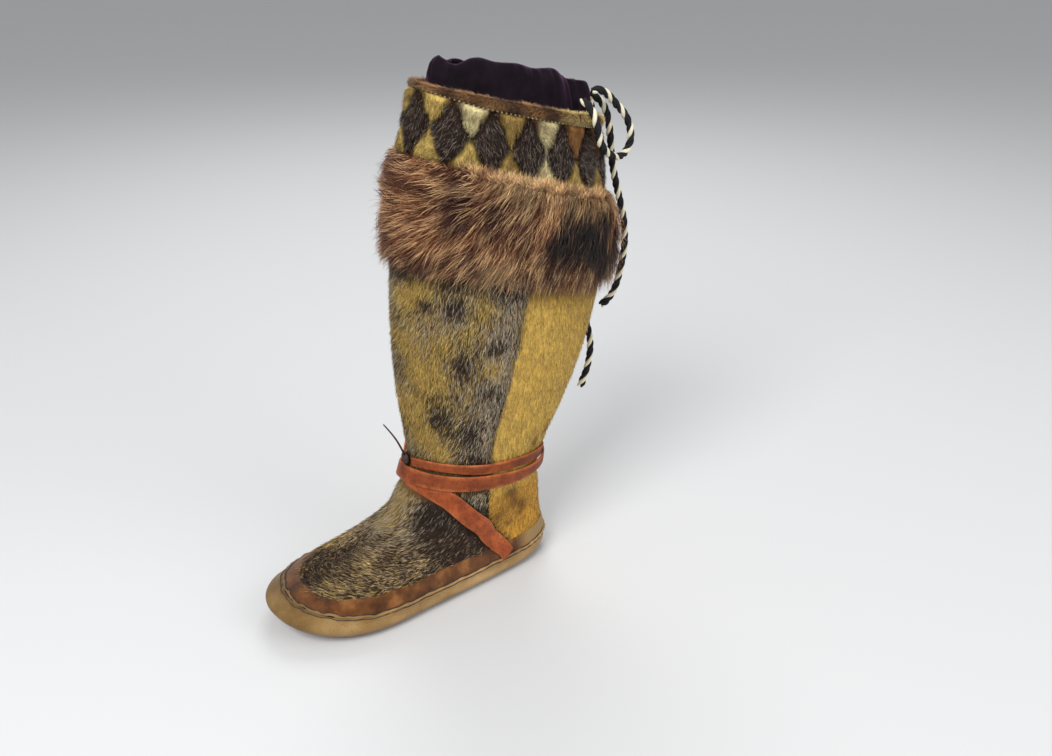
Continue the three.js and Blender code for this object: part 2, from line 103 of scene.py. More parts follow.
RINGS = {name: np.array(RING_ROWS)[:, i] for i, name in enumerate(RING_COLUMNS)}
PLAN_OUTER = np.array([1.33, 1.33, 1.15, 0.87, 0.79, 0.87, 0.87])
PLAN_INNER = np.array([1.48, 1.44, 1.15, 0.77, 0.74, 0.87, 0.87])

# Strap routes: ring, angle in degrees from the toe round the outer side, lift and width
OUTER_STRAP_ROWS = [
    [4.22, 123, 2.2, 14],
    [4.90, 119, 2.2, 15],
    [6.30, 107, 1.2, 16],
    [7.85, 90, 1.2, 16.5],
    [9.45, 62, 1.2, 16],
    [10.05, 37, 1.2, 14],
    [10.25, 12, 1.2, 12],
    [10.35, -15, 1.2, 12],
    [10.45, -50, 1.2, 11],
    [10.45, -95, 1.2, 11],
    [10.60, -140, 1.2, 11],
    [10.85, -170, 1.2, 11],
    [11.00, 165, 1.2, 10],
    [11.15, 140, 1.2, 10],
    [11.15, 111, 1.2, 9],
    [11.02, 80, 1.2, 9],
    [11.02, 50, 1.2, 8],
    [10.98, 27, 1.2, 8],
    [10.90, 9, 1.4, 7],
]
INNER_STRAP_ROWS = [
    [4.22, -123, 2.2, 14],
    [4.90, -119, 2.2, 15],
    [6.30, -107, 1.2, 16],
    [7.80, -90, 1.2, 16.5],
    [9.20, -64, 2.2, 16],
    [9.95, -40, 3.8, 14],
    [10.30, -14, 3.8, 13],
    [10.44, 12, 3.8, 13],
    [10.46, 35, 3.8, 13.5],
    [10.42, 62, 3.2, 13.5],
    [10.40, 94, 2.6, 12.5],
    [10.42, 125, 3.6, 10],
    [10.52, 152, 3.8, 10],
    [10.60, 180, 3.8, 10],
    [10.85, -150, 3.8, 10],
    [11.10, -110, 3.8, 9],
    [11.15, -70, 2.6, 9],
    [11.04, -35, 1.4, 8],
    [10.90, -9, 1.4, 7],
]

# Cord routes in millimetres, the same as the CAD tubes
LOOP_ROUTE = [
    [20, 99.6, 420], [20, 105, 421], [19, 114, 417], [18, 123, 409], [18, 132, 400], [18, 138, 390],
    [18, 140, 378], [20, 134, 369], [25, 123, 367], [31, 112, 371], [37, 102, 377], [41, 94, 386],
    [43, 90, 397], [42, 87, 407], [36, 85, 414], [29.2, 84, 416],
]
TAIL_A_ROUTE = [
    [6, 104.3, 414], [6, 111, 413], [6, 119, 407], [6, 125, 395], [6, 128, 379], [6, 130, 362],
    [7, 134, 342], [7, 140, 322], [7, 145, 302], [7, 146, 282], [6, 144, 264], [6, 140, 249],
    [6, 134, 238], [6, 124, 231],
]
TAIL_B_ROUTE = [
    [-8, 106, 412], [-11, 114, 411], [-15, 122, 402], [-19, 127, 386], [-22, 131, 364], [-26, 137, 338],
    [-31, 142, 312], [-35, 141, 292], [-38, 135, 274], [-37, 124, 256], [-31, 116, 241], [-21, 116, 227],
    [-10, 119, 211], [-2, 119, 193], [1, 115, 173], [0, 108, 152],
]
THONG_ROUTE = [
    [1, -69.5, 133.6], [3, -73, 142], [4, -77, 151], [4, -82, 160], [4, -87, 168],
]


def smooth(x, low, high):
    """0 below low, 1 above high, and a soft step between."""
    t = np.clip((x - low) / (high - low), 0, 1)
    return t * t * (3 - 2 * t)


def mix(a, b, share):
    return a + (b - a) * share


def read_column(values, at):
    """A smooth curve through one column of a table, read at fractional rows."""
    last = len(values) - 1
    i = np.clip(np.floor(at).astype(int), 0, last - 1)
    f = at - i
    before, start, end, after = (values[np.clip(i + k, 0, last)] for k in (-1, 0, 1, 2))
    slope_in = (end - before) / 2
    slope_out = (after - start) / 2
    f2 = f * f
    f3 = f2 * f
    return ((2 * f3 - 3 * f2 + 1) * start + (f3 - 2 * f2 + f) * slope_in
            + (3 * f2 - 2 * f3) * end + (f3 - f2) * slope_out)


def ground(forward, side):
    """Height of the underside: toe spring, and a low arch on the inner side."""
    start = SPRING_START * FOOT_LENGTH
    end = RINGS["toe"][2] * FOOT_LENGTH
    spring = TOE_SPRING * np.clip((forward - start) / (end - start), 0, 1.2) ** 2
    along = smooth(forward, 34, 60) * (1 - smooth(forward, 70, 100))
    return spring + ARCH_LIFT * along * smooth(-side, 4, 34)


def skin_point(ring, angle):
    """A point of the boot's skin in millimetres: ring number, and angle from the toe round the outer side."""
    ring, angle = np.broadcast_arrays(np.asarray(ring, float), np.asarray(angle, float))
    get = {name: read_column(values, ring) for name, values in RINGS.items()}
    turn = np.mod(angle, 2 * math.pi)
    inner = turn > math.pi
    plan_row = np.where(inner, 2 * math.pi - turn, turn) / math.radians(30)
    fullness = np.where(inner, read_column(PLAN_INNER, plan_row), read_column(PLAN_OUTER, plan_row))
    toe = get["toe"] * FOOT_LENGTH
    heel = get["heel"] * FOOT_LENGTH
    along = np.cos(turn)
    across = np.sin(turn) * mix(fullness, 1, np.clip(get["morph"], 0, 1))
    forward = (toe + heel) / 2 + (toe - heel) / 2 * along
    side = get["half"] * BALL_WIDTH * across
    climb = ((along + 1) / 2) ** get["bend"]
    up = mix(get["heelUp"], get["toeUp"], climb) * SHAFT_HEIGHT
    up = up + np.clip(get["ground"], 0, 1) * ground(forward, side)
    return np.stack([side, -forward, up], -1)


def unit(v):
    return v / np.maximum(np.linalg.norm(v, axis=-1, keepdims=True), 1e-9)


def skin_ways(ring, angle):
    """Unit directions at a point of the skin: up the boot, round it, and outwards."""
    step = 0.01
    ring = np.asarray(ring, float)
    above = skin_point(np.minimum(ring + step, SHAFT_TOP), angle)
    climb = above - skin_point(np.maximum(ring - step, 0), angle)
    around = skin_point(ring, angle + step) - skin_point(ring, angle - step)
    return unit(climb), unit(around), unit(np.cross(around, climb))


def skin(ring, angle, lift=0.0):
    out = skin_ways(ring, angle)[2]
    return skin_point(ring, angle) + out * np.asarray(lift, float)[..., None]


def noise(points, size, seed):
    """Smooth noise from 0 to 1 at points in millimetres, with blobs of the given size."""
    q = np.asarray(points, float) / size
    cell = np.floor(q).astype(np.int64)
    f = q - cell
    f = f * f * (3 - 2 * f)
    total = 0.0
    for corner in np.ndindex(2, 2, 2):
        k = cell + np.array(corner)
        h = (k[..., 0] * 73856093) ^ (k[..., 1] * 19349663) ^ (k[..., 2] * 83492791) ^ (seed * 26544357)
        h = (h ^ (h >> 13)) * 1274126177 & 0xFFFFFFFF
        value = ((h ^ (h >> 16)) & 0xFFFF) / 65535
        weight = np.prod(np.where(np.array(corner) == 1, f, 1 - f), axis=-1)
        total = total + value * weight
    return total


def colour(red, green, blue):
    """A colour seen on screen, 0 to 255, as the linear values that shading uses."""
    c = np.array([red, green, blue]) / 255
    return np.where(c <= 0.04045, c / 12.92, ((c + 0.055) / 1.055) ** 2.4)


# Even spacing round the top of the shaft, for the diamonds and the gathers
EVEN_PARTS = 2000
even_turns = np.linspace(0, 2 * math.pi, EVEN_PARTS + 1)
even_points = skin_point(MOSAIC_TOP, even_turns)
even_reach = np.concatenate([[0], np.cumsum(np.linalg.norm(np.diff(even_points, axis=0), axis=1))])
TOP_LENGTH = even_reach[-1]


def even_share(angle):
    """How far round the shaft an angle lies, from 0 to 1, measured along the oval."""
    return np.interp(np.mod(angle, 2 * math.pi), even_turns, even_reach) / TOP_LENGTH


def even_angle(share):
    return np.interp(np.mod(share, 1) * TOP_LENGTH, even_reach, even_turns)


def deselect():
    bpy.ops.object.select_all(action="DESELECT")


def activate(piece):
    deselect()
    piece.select_set(True)
    bpy.context.view_layer.objects.active = piece


def thicken(piece, wall):
    """Gives a skin its wall in millimetres, towards the inside of the boot."""
    activate(piece)
    modifier = piece.modifiers.new("Wall", "SOLIDIFY")
    modifier.thickness = wall * MM
    modifier.offset = -1
    bpy.ops.object.modifier_apply(modifier=modifier.name)


def close_edges(piece, close):
    """Closes the open edges of a piece with an operator, and turns its faces outwards."""
    activate(piece)
    bpy.ops.object.mode_set(mode="EDIT")
    bpy.ops.mesh.select_all(action="DESELECT")
    bpy.ops.mesh.select_non_manifold()
    close()
    bpy.ops.mesh.select_all(action="SELECT")
    bpy.ops.mesh.normals_make_consistent(inside=False)
    bpy.ops.object.mode_set(mode="OBJECT")


def wrapped_grid(name, columns, rows, place, tint=None, wall=None):
    """A primitive grid wrapped round the boot. place(u, v) gives its points in millimetres,
    tint(u, v) their colours, and wall its thickness in millimetres."""
    deselect()
    bpy.ops.mesh.primitive_grid_add(x_subdivisions=columns, y_subdivisions=rows, size=1)
    piece = bpy.context.object
    piece.name = name
    mesh = piece.data
    mesh.name = name
    flat = np.empty(len(mesh.vertices) * 3)
    mesh.vertices.foreach_get("co", flat)
    u, v = (flat.reshape(-1, 3)[:, :2] + 0.5).T
    mesh.vertices.foreach_set("co", (place(u, v) * MM).ravel())
    if tint is not None:
        paint(mesh, tint(u, v))
    bpy.ops.object.mode_set(mode="EDIT")
    bpy.ops.mesh.select_all(action="SELECT")
    bpy.ops.mesh.remove_doubles(threshold=1e-5)
    bpy.ops.object.mode_set(mode="OBJECT")
    bpy.ops.object.shade_smooth()
    if wall is not None:
        thicken(piece, wall)
    return piece


def paint(mesh, colours):
    layer = mesh.attributes.new("tint", "FLOAT_COLOR", "POINT")
    rgba = np.ones((len(colours), 4))
    rgba[:, :3] = colours
    layer.data.foreach_set("color", rgba.ravel())


def mesh_piece(name, points, faces, tint=None):
    """A piece from arrays: points in millimetres, and faces as rows of equal length or a list of such."""
    mesh = bpy.data.meshes.new(name)
    groups = faces if isinstance(faces, list) else [faces]
    corners = np.concatenate([g.ravel() for g in groups])
    sizes = np.concatenate([np.full(len(g), g.shape[1]) for g in groups])
    mesh.vertices.add(len(points))
    mesh.vertices.foreach_set("co", (points * MM).ravel())
    mesh.loops.add(len(corners))
    mesh.loops.foreach_set("vertex_index", corners.astype(np.int32))
    mesh.polygons.add(len(sizes))
    mesh.polygons.foreach_set("loop_start", (np.cumsum(sizes) - sizes).astype(np.int32))
    mesh.polygons.foreach_set("use_smooth", np.ones(len(sizes), bool))
    mesh.update(calc_edges=True)
    if tint is not None:
        paint(mesh, tint)
    piece = bpy.data.objects.new(name, mesh)
    bpy.context.scene.collection.objects.link(piece)
    return piece


def finish_piece(piece, material, slot, *nodes):
    piece.data.materials.clear()
    piece.data.materials.append(material)
    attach(piece, "root")
    if nodes:
        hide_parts(*nodes)


# Materials

WHITE = (1.0, 1.0, 1.0)


def new_material(name, roughness, specular):
    made = bpy.data.materials.new(name)
    made.use_nodes = True
    shader = made.node_tree.nodes["Principled BSDF"]
    shader.inputs["Roughness"].default_value = roughness
    shader.inputs["Specular IOR Level"].default_value = specular
    return made, made.node_tree, shader


def add_node(tree, kind, **settings):
    node = tree.nodes.new(kind)
    for name, value in settings.items():
        if name in node.inputs:
            node.inputs[name].default_value = value
        else:
            setattr(node, name, value)
    return node


def object_noise(tree, scale, detail=3.0, stretch=(1, 1, 1)):
    """Noise on the piece's own coordinates in metres."""
    place = tree.nodes.new("ShaderNodeTexCoord")
    mapping = add_node(tree, "ShaderNodeMapping", Scale=stretch)
    tree.links.new(place.outputs["Object"], mapping.inputs["Vector"])
    made = add_node(tree, "ShaderNodeTexNoise", Scale=scale, Detail=detail)
    tree.links.new(mapping.outputs["Vector"], made.inputs["Vector"])
    return made.outputs["Fac"]


def axis_share(tree, axis, start, end):
    """0 to 1 between two places in metres along one axis of the piece's own coordinates."""
    place = tree.nodes.new("ShaderNodeTexCoord")
    split = tree.nodes.new("ShaderNodeSeparateXYZ")
    tree.links.new(place.outputs["Object"], split.inputs["Vector"])
    share = add_node(tree, "ShaderNodeMapRange", **{"From Min": start, "From Max": end})
    tree.links.new(split.outputs[axis], share.inputs["Value"])
    return share.outputs["Result"]


def ramp(tree, value, *stops):
    node = tree.nodes.new("ShaderNodeValToRGB")
    points = node.color_ramp.elements
    while len(points) < len(stops):
        points.new(0.5)
    for point, (place, c) in zip(points, stops):
        point.position = place
        point.color = (*c, 1)
    tree.links.new(value, node.inputs["Fac"])
    return node.outputs["Color"]


def bump(tree, shader, height, distance, strength=1.0, under=None):
    node = add_node(tree, "ShaderNodeBump", Strength=strength, Distance=distance)
    tree.links.new(height, node.inputs["Height"])
    if under is not None:
        tree.links.new(under, node.inputs["Normal"])
    tree.links.new(node.outputs["Normal"], shader.inputs["Normal"])
    return node.outputs["Normal"]


def bumps(tree, shader, *levels):
    """Bumps from wide to fine, each with its noise scale and detail, its depth and its strength."""
    under = None
    for scale, detail, depth, strength in levels:
        under = bump(tree, shader, object_noise(tree, scale, detail), depth, strength, under)


def multiply(tree, a, b, share=1.0):
    node = add_node(tree, "ShaderNodeMix", data_type="RGBA", blend_type="MULTIPLY")
    node.inputs[0].default_value = share
    tree.links.new(a, node.inputs[6])
    tree.links.new(b, node.inputs[7])
    return node.outputs[2]


def tint_output(tree):
    return add_node(tree, "ShaderNodeAttribute", attribute_name="tint").outputs["Color"]


def hair_material(name, roughness=0.42):
    """Hair: the colour painted on each hair, a little uneven along it."""
    made, tree, shader = new_material(name, roughness, 0.5)
    uneven = ramp(tree, object_noise(tree, 900, 2), (0.3, (0.8,) * 3), (0.7, (1.15,) * 3))
    tree.links.new(multiply(tree, tint_output(tree), uneven), shader.inputs["Base Color"])
    return made


def under_material(name, dark):
    """The skin below the hair: the same pattern, darker, with fine streaks."""
    made, tree, shader = new_material(name, 0.95, 0.1)
    streaks = object_noise(tree, 420, 4, (1, 1, 0.25))
    shade = ramp(tree, streaks, (0.35, (dark * 0.6,) * 3), (0.65, (dark,) * 3))
    tree.links.new(multiply(tree, tint_output(tree), shade), shader.inputs["Base Color"])
    bump(tree, shader, streaks, 0.0012)
    return made


def hide_material():
    """Tan hide of the sole: soft nap, paler patches, and painted grey shade near the floor."""
    made, tree, shader = new_material("tan_hide", 0.85, 0.2)
    shader.inputs["Sheen Weight"].default_value = 0.15
    patchy = ramp(tree, object_noise(tree, 34, 6), (0.3, colour(126, 96, 54)), (0.5, colour(154, 120, 72)),
                  (0.72, colour(182, 148, 98)))
    # Painted shade: the hide is greyer and darker in the lowest 12 mm, towards the floor.
    low, high = 0.0, 0.012
    painted_floor_shade = ramp(tree, axis_share(tree, "Z", low, high), (0.0, colour(185, 178, 165)), (0.9, WHITE))
    # Painted shade: the hide turns darker and greyer towards the toe.
    ball, tip = -0.11, -0.185
    painted_toe_shade = ramp(tree, axis_share(tree, "Y", ball, tip), (0.0, WHITE), (1.0, colour(180, 176, 160)))
    tone = multiply(tree, multiply(tree, patchy, painted_floor_shade, 0.8), painted_toe_shade)
    specks = ramp(tree, object_noise(tree, 750, 3), (0.3, (0.72,) * 3), (0.55, WHITE))
    tree.links.new(multiply(tree, tone, specks, 0.7), shader.inputs["Base Color"])
    bumps(tree, shader, (90, 5, 0.0014, 0.8), (1100, 3, 0.0004, 0.9))
    return made


def suede_material():
    """Brown suede band, greyer and paler at the heel."""
    made, tree, shader = new_material("brown_suede", 0.95, 0.15)
    shader.inputs["Sheen Weight"].default_value = 0.2
    brown = ramp(tree, object_noise(tree, 70, 7), (0.3, colour(58, 34, 16)), (0.52, colour(96, 58, 28)),
                 (0.75, colour(144, 96, 50)))
    ankle, heel = 0.02, 0.036
    blend = add_node(tree, "ShaderNodeMix", data_type="RGBA")
    tree.links.new(axis_share(tree, "Y", ankle, heel), blend.inputs[0])
    tree.links.new(brown, blend.inputs[6])
    blend.inputs[7].default_value = (*colour(140, 112, 66), 1)
    tree.links.new(blend.outputs[2], shader.inputs["Base Color"])
    bumps(tree, shader, (120, 4, 0.001, 0.6), (1600, 3, 0.0003, 0.8))
    return made


def strap_material():
    """Orange-brown leather: paler cut edges, darker rubbed stretches, fine grain and scuffs."""
    made, tree, shader = new_material("strap_leather", 0.5, 0.22)
    shader.inputs["Coat Weight"].default_value = 0.03
    cloudy = ramp(tree, object_noise(tree, 60, 8), (0.3, colour(100, 43, 17)), (0.5, colour(130, 60, 25)),
                  (0.72, colour(154, 78, 36)))
    specks = ramp(tree, object_noise(tree, 520, 5), (0.34, (0.55, 0.5, 0.5)), (0.5, WHITE))
    base = multiply(tree, cloudy, specks, 0.8)
    tree.links.new(multiply(tree, base, tint_output(tree)), shader.inputs["Base Color"])
    rough = add_node(tree, "ShaderNodeMapRange", **{"To Min": 0.38, "To Max": 0.72})
    tree.links.new(object_noise(tree, 130, 5), rough.inputs["Value"])
    tree.links.new(rough.outputs["Result"], shader.inputs["Roughness"])
    bumps(tree, shader, (160, 5, 0.0006, 0.6), (1500, 2, 0.00015, 0.5))
    return made


def cord_material():
    """Twisted cord: the ply's own colour, a little uneven, with fine bumps for its fibres."""
    made, tree, shader = new_material("twisted_cord", 0.75, 0.25)
    fibres = ramp(tree, object_noise(tree, 2600, 2), (0.3, (0.7,) * 3), (0.7, (1.05,) * 3))
    tree.links.new(multiply(tree, tint_output(tree), fibres), shader.inputs["Base Color"])
    bumps(tree, shader, (2600, 2, 0.0002, 0.6))
    return made


def cloudy_material(name, roughness, specular, cloud, dark, pale, *levels):
    """One colour, cloudy between a dark and a pale tone, with bumps."""
    made, tree, shader = new_material(name, roughness, specular)
    tone = ramp(tree, object_noise(tree, *cloud), (0.3, colour(*dark)), (0.7, colour(*pale)))
    tree.links.new(tone, shader.inputs["Base Color"])
    bumps(tree, shader, *levels)
    return made


def velvet_material():
    """Dark purple velvet: nearly black straight on, with a soft violet rim of nap."""
    made = cloudy_material("dark_velvet", 0.9, 0.1, (70, 7), (8, 6, 8), (26, 16, 25),
                           (80, 3, 0.0015, 0.5), (1800, 2, 0.0003, 0.6))
    inputs = made.node_tree.nodes["Principled BSDF"].inputs
    inputs["Sheen Weight"].default_value = 0.6
    inputs["Sheen Roughness"].default_value = 0.35
    inputs["Sheen Tint"].default_value = (*colour(146, 96, 144), 1)
    return made


def thong_material(name):
    return cloudy_material(name, 0.6, 0.3, (500, 3), (34, 26, 24), (74, 56, 46), (900, 3, 0.0003, 0.6))


def thread_material():
    return cloudy_material("pale_thread", 0.7, 0.3, (700, 2), (150, 130, 96), (205, 190, 155),
                           (3000, 2, 0.0001, 0.5))


# Creases of the upper: from ring and angle to ring and angle, width and depth.
# A negative depth is a ridge.
CREASE_COLUMNS = ["ringA", "angleA", "ringB", "angleB", "width", "depth"]
CREASE_ROWS = [
    [8.6, 20, 8.3, 62, 7, 2.2],
    [8.3, 62, 7.3, 92, 7, 2.4],
    [8.8, -15, 8.0, -70, 7, 2.0],
    [9.5, 5, 9.3, 55, 8, -1.6],
    [9.6, 120, 9.2, 175, 6, 1.8],
    [8.9, 110, 8.3, 150, 5, 1.4],
    [9.6, -120, 9.2, -175, 6, 1.8],
    [12.3, 150, 11.5, 178, 6, 2.2],
    [12.7, 130, 12.0, 160, 8, -1.5],
    [12.2, -150, 11.5, -178, 6, 2.0],
    [11.6, 20, 11.5, 60, 7, -1.4],
    [13.0, 60, 14.6, 55, 14, 1.2],
    [13.4, -60, 15.0, -58, 14, 1.2],
]


def strap_line(rows, stations):
    """The route of a strap: places, directions away from the boot and across the strap, half widths."""
    table = np.array(rows, float)
    table[:, 1] = np.degrees(np.unwrap(np.radians(table[:, 1])))
    last = len(table) - 1

    def centre(at):
        ring = read_column(table[:, 0], at)
        angle = np.radians(read_column(table[:, 1], at))
        lift = read_column(table[:, 2], at)
        return skin(ring, angle, lift), skin_ways(ring, angle)[2]

    at = np.linspace(0, last, stations + 1)
    point, out = centre(at)
    ahead = unit(centre(np.minimum(at + 0.02, last))[0] - centre(np.maximum(at - 0.02, 0))[0])
    across = unit(np.cross(ahead, out))
    up = unit(np.cross(across, ahead))
    return point, up, across, read_column(table[:, 3], at) / 2


STRAP_STATIONS = 260
strap_outer_line = strap_line(OUTER_STRAP_ROWS, STRAP_STATIONS)
strap_inner_line = strap_line(INNER_STRAP_ROWS, STRAP_STATIONS)
strap_points = np.concatenate([strap_outer_line[0], strap_inner_line[0]])
strap_halves = np.concatenate([strap_outer_line[3], strap_inner_line[3]])


def strap_room(points):
    """How far points lie from the nearest strap's edge, in millimetres; negative is under it."""
    batch = 4000
    nearest = np.empty(len(points))
    for start in range(0, len(points), batch):
        part = points[start:start + batch]
        gap = np.linalg.norm(part[:, None] - strap_points[None], axis=2) - strap_halves[None]
        nearest[start:start + batch] = gap.min(1)
    return nearest


def crease_lift(points):
    """Soft troughs and ridges of the upper, in millimetres along the outward direction."""
    total = np.zeros(points.shape[:-1])
    for cells in CREASE_ROWS:
        row = dict(zip(CREASE_COLUMNS, cells))
        a = skin_point(row["ringA"], math.radians(row["angleA"]))
        b = skin_point(row["ringB"], math.radians(row["angleB"]))
        share = np.clip(((points - a) @ (b - a)) / ((b - a) @ (b - a)), 0, 1)
        gap = np.linalg.norm(points - (a + share[..., None] * (b - a)), axis=-1)
        total = total - row["depth"] * np.exp(-((gap / row["width"]) ** 2))
    return total


# Where the golden back panel meets the mottled front, on either side: ring and angle
PANEL_EDGE = np.array([
    [4.0, 128], [5.2, 124], [6.6, 112], [7.75, 100], [9.9, 88], [11.6, 86], [12.5, 86], [13.1, 87],
    [13.6, 89], [14.25, 90], [14.9, 90], [15.6, 92], [18.0, 94],
])

# Patches of the fur on the outer side: ring, angle, size in millimetres, how much
# lighter or darker, and how much more golden
PATCH_ROWS = [
    [15.40, 32, 12, 0.40, 0.6],
    [15.10, 18, 12, 0.30, 0.5],
    [15.10, 70, 11, 0.30, 0.6],
    [14.70, 61, 10, 0.25, 0.5],
    [14.40, 47, 12, 0.25, 0.5],
    [14.30, 11, 14, 0.30, 0.5],
    [13.80, 28, 12, 0.40, 0.6],
    [14.00, 77, 9, 0.35, 0.6],
    [13.55, 40, 11, 0.30, 0.6],
    [12.85, 13, 14, 0.45, 0.7],
    [12.20, 30, 12, 0.50, 0.7],
    [11.60, 42, 10, 0.45, 0.6],
    [15.10, 34, 6, -0.75, -0.3],
    [15.05, 53, 10, -0.60, -0.4],
    [14.40, 78, 8, -0.60, -0.4],
    [14.00, 60, 9, -0.55, -0.4],
    [13.55, 74, 8, -0.55, -0.4],
    [12.65, 43, 8, -0.60, -0.3],
    [12.30, 65, 12, -0.50, -0.4],
    [11.40, 72, 12, -0.55, -0.4],
    [15.60, 82, 12, -0.40, -0.4],
    [15.65, 12, 8, -0.50, -0.2],
    [8.10, 71, 20, -0.80, -0.3],
    [8.90, 46, 12, -0.60, -0.3],
    [7.00, 92, 14, -0.60, -0.3],
    [5.75, -9, 13, -0.45, 0.1],
    [9.40, 5, 16, 0.65, 0.3],
    [8.40, -1, 16, 0.55, 0.3],
    [6.95, 26, 14, 0.20, 0.0],
    [5.40, 27, 12, 0.25, 0.0],
]
# Brown blotches of the golden panel near the heel: ring, angle, size and strength
BLOTCH_ROWS = [
    [9.10, 112, 8, 0.8],
    [8.20, 120, 7, 0.7],
    [7.60, 108, 8, 0.6],
    [7.30, 131, 8, 0.7],
    [6.40, 122, 6, 0.5],
    [11.90, 127, 5, 0.9],
    [12.30, 139, 5, 0.7],
    [8.90, -118, 9, 0.7],
    [7.40, -128, 8, 0.7],
]

GOLD = colour(232, 190, 92)
PALE_GOLD = colour(252, 228, 140)
CREAM_TIP = colour(250, 238, 204)
SILVER = colour(214, 206, 186)
TAN_TIP = colour(222, 188, 138)
OLIVE = colour(146, 114, 56)
DARK = colour(52, 40, 32)
BROWN = colour(104, 76, 52)
PANEL_BROWN = colour(122, 80, 42)


def turn_of(angle):
    """An angle as degrees from -180 to 180."""
    return np.degrees(np.mod(angle + math.pi, 2 * math.pi) - math.pi)


def panel_edge(ring, angle):
    """Degrees past the seam of the golden panel; negative is on the mottled front."""
    return np.abs(turn_of(angle)) - np.interp(ring, PANEL_EDGE[:, 0], PANEL_EDGE[:, 1])


def on_panel(ring, angle):
    return panel_edge(ring, angle) > 0


def patches(points, rows, column):
    """The sum of soft round patches of a table at some points."""
    total = 0.0
    for cells in rows:
        centre = skin_point(cells[0], math.radians(cells[1]))
        total = total + cells[column] * np.exp(-(np.linalg.norm(points - centre, axis=-1) / cells[2]) ** 2)
    return total


def mottle(ring, angle, points):
    """How light and how golden the mottled fur is, each from 0 to 1."""
    foot = 1 - smooth(ring, 8.5, 10.5)
    uneven = 0.6 * noise(points, 24, 3) + 0.4 * noise(points, 10, 4) - 0.5
    near_seam = smooth(-panel_edge(ring, angle), 30, 5)
    # Painted shadow under the cuff's hem: the mottled fur and its skin are darker just below it.
    hem = smooth(ring, 15.2, 15.6)
    light = mix(0.66, 0.17, foot) + 0.9 * uneven + 1.4 * patches(points, PATCH_ROWS, 3) - 0.5 * hem
    light = light + 0.2 * near_seam * (1 - foot)
    gold = mix(0.6, 0.3, foot) - 0.35 * near_seam + 0.8 * (noise(points, 32, 5) - 0.5)
    gold = gold + 1.2 * patches(points, PATCH_ROWS, 4)
    return np.clip(light, 0, 1), np.clip(gold, 0, 1)


def panel_tone(ring, points):
    """How dark the golden panel is, from 0 to 1: blotches near the heel and a brown top."""
    under_cuff = 0.85 * smooth(ring, 15.05, 15.7)
    uneven = 0.3 * np.abs(noise(points, 34, 8) - 0.5)
    return np.clip(patches(points, BLOTCH_ROWS, 3) + under_cuff + uneven, 0, 1)


def heel_warmth(ring):
    """The panel is a deeper gold towards the heel."""
    return mix(1.0, np.array([1.0, 0.8, 0.5]), 1 - smooth(ring, 8.6, 10.3)[..., None])


def upper_tint(ring, angle, points):
    light, gold = mottle(ring, angle, points)
    seal = mix(DARK, mix(BROWN, OLIVE, gold[..., None]), light[..., None])
    panel = mix(GOLD * heel_warmth(ring), PANEL_BROWN, panel_tone(ring, points)[..., None])
    return np.where(on_panel(ring, angle)[..., None], panel, seal)


def upper_surface(ring, angle, lift=0.0):
    points = skin_point(ring, angle)
    return skin(ring, angle, crease_lift(points) + lift)


# Hair

def scatter(rng, count, low, high, keep=None):
    """Random places on the skin between two rings, even by area. keep(ring, angle) gives each
    place's chance to stay."""
    rows, columns = 120, 180
    rings = np.linspace(low, high, rows + 1)
    turns = np.linspace(0, 2 * math.pi, columns + 1)
    points = skin_point(rings[:, None], turns[None])
    up = points[1:, :-1] - points[:-1, :-1]
    side = points[:-1, 1:] - points[:-1, :-1]
    area = np.linalg.norm(np.cross(up, side), axis=-1).ravel()
    tries = count if keep is None else count * 3
    cell = rng.choice(len(area), tries, p=area / area.sum())
    ring = rings[cell // columns] + rng.random(tries) * (rings[1] - rings[0])
    angle = turns[cell % columns] + rng.random(tries) * (turns[1] - turns[0])
    if keep is not None:
        stay = rng.random(tries) < keep(ring, angle)
        ring = ring[stay][:count]
        angle = angle[stay][:count]
    return ring, angle


def hair_piece(name, roots, first, second, out, width, root_tint, tip_tint):
    """Hairs as closed three-sided spikes. first and second are the two halves of each hair as
    vectors in millimetres; where second is None the hair is one straight spike."""
    count = len(roots)
    side = unit(np.cross(first, out))
    rise = unit(np.cross(side, first))
    width = np.broadcast_to(width, (count,))[:, None]
    corners = [side * 0.5, side * -0.25 + rise * 0.35, side * -0.25 - rise * 0.35]
    base = [roots + c * width for c in corners]
    index = np.arange(count)[:, None]
    if second is None:
        points = np.stack([*base, roots + first], 1)
        n = 4
        faces = np.array([[0, 2, 1], [0, 1, 3], [1, 2, 3], [2, 0, 3]])
        tints = np.stack([root_tint, root_tint, root_tint, tip_tint], 1)
    else:
        middle = roots + first
        points = np.stack([*base, *[middle + c * width * 0.7 for c in corners], middle + second], 1)
        n = 7
        faces = np.array([[0, 2, 1], [0, 1, 4], [0, 4, 3], [1, 2, 5], [1, 5, 4], [2, 0, 3], [2, 3, 5],
                          [3, 4, 6], [4, 5, 6], [5, 3, 6]])
        half = mix(root_tint, tip_tint, 0.5)
        tints = np.stack([root_tint] * 3 + [half] * 3 + [tip_tint], 1)
    faces = (index[:, :, None] * n + faces[None]).reshape(-1, 3)
    return mesh_piece(name, points.reshape(-1, 3), faces, tints.reshape(-1, 3))


def flow(ring, angle, heading, stand):
    """Unit direction of a hair: heading in degrees from straight down towards the toe side,
    and stand in degrees off the skin."""
    up, around, out = skin_ways(ring, angle)
    heading = np.radians(heading)[:, None]
    stand = np.radians(stand)[:, None]
    along = unit(-up * np.cos(heading) - around * np.sin(heading))
    return unit(along * np.cos(stand) + out * np.sin(stand)), out


def jitter(rng, count, spread):
    return rng.normal(0, spread, count)


# Pieces

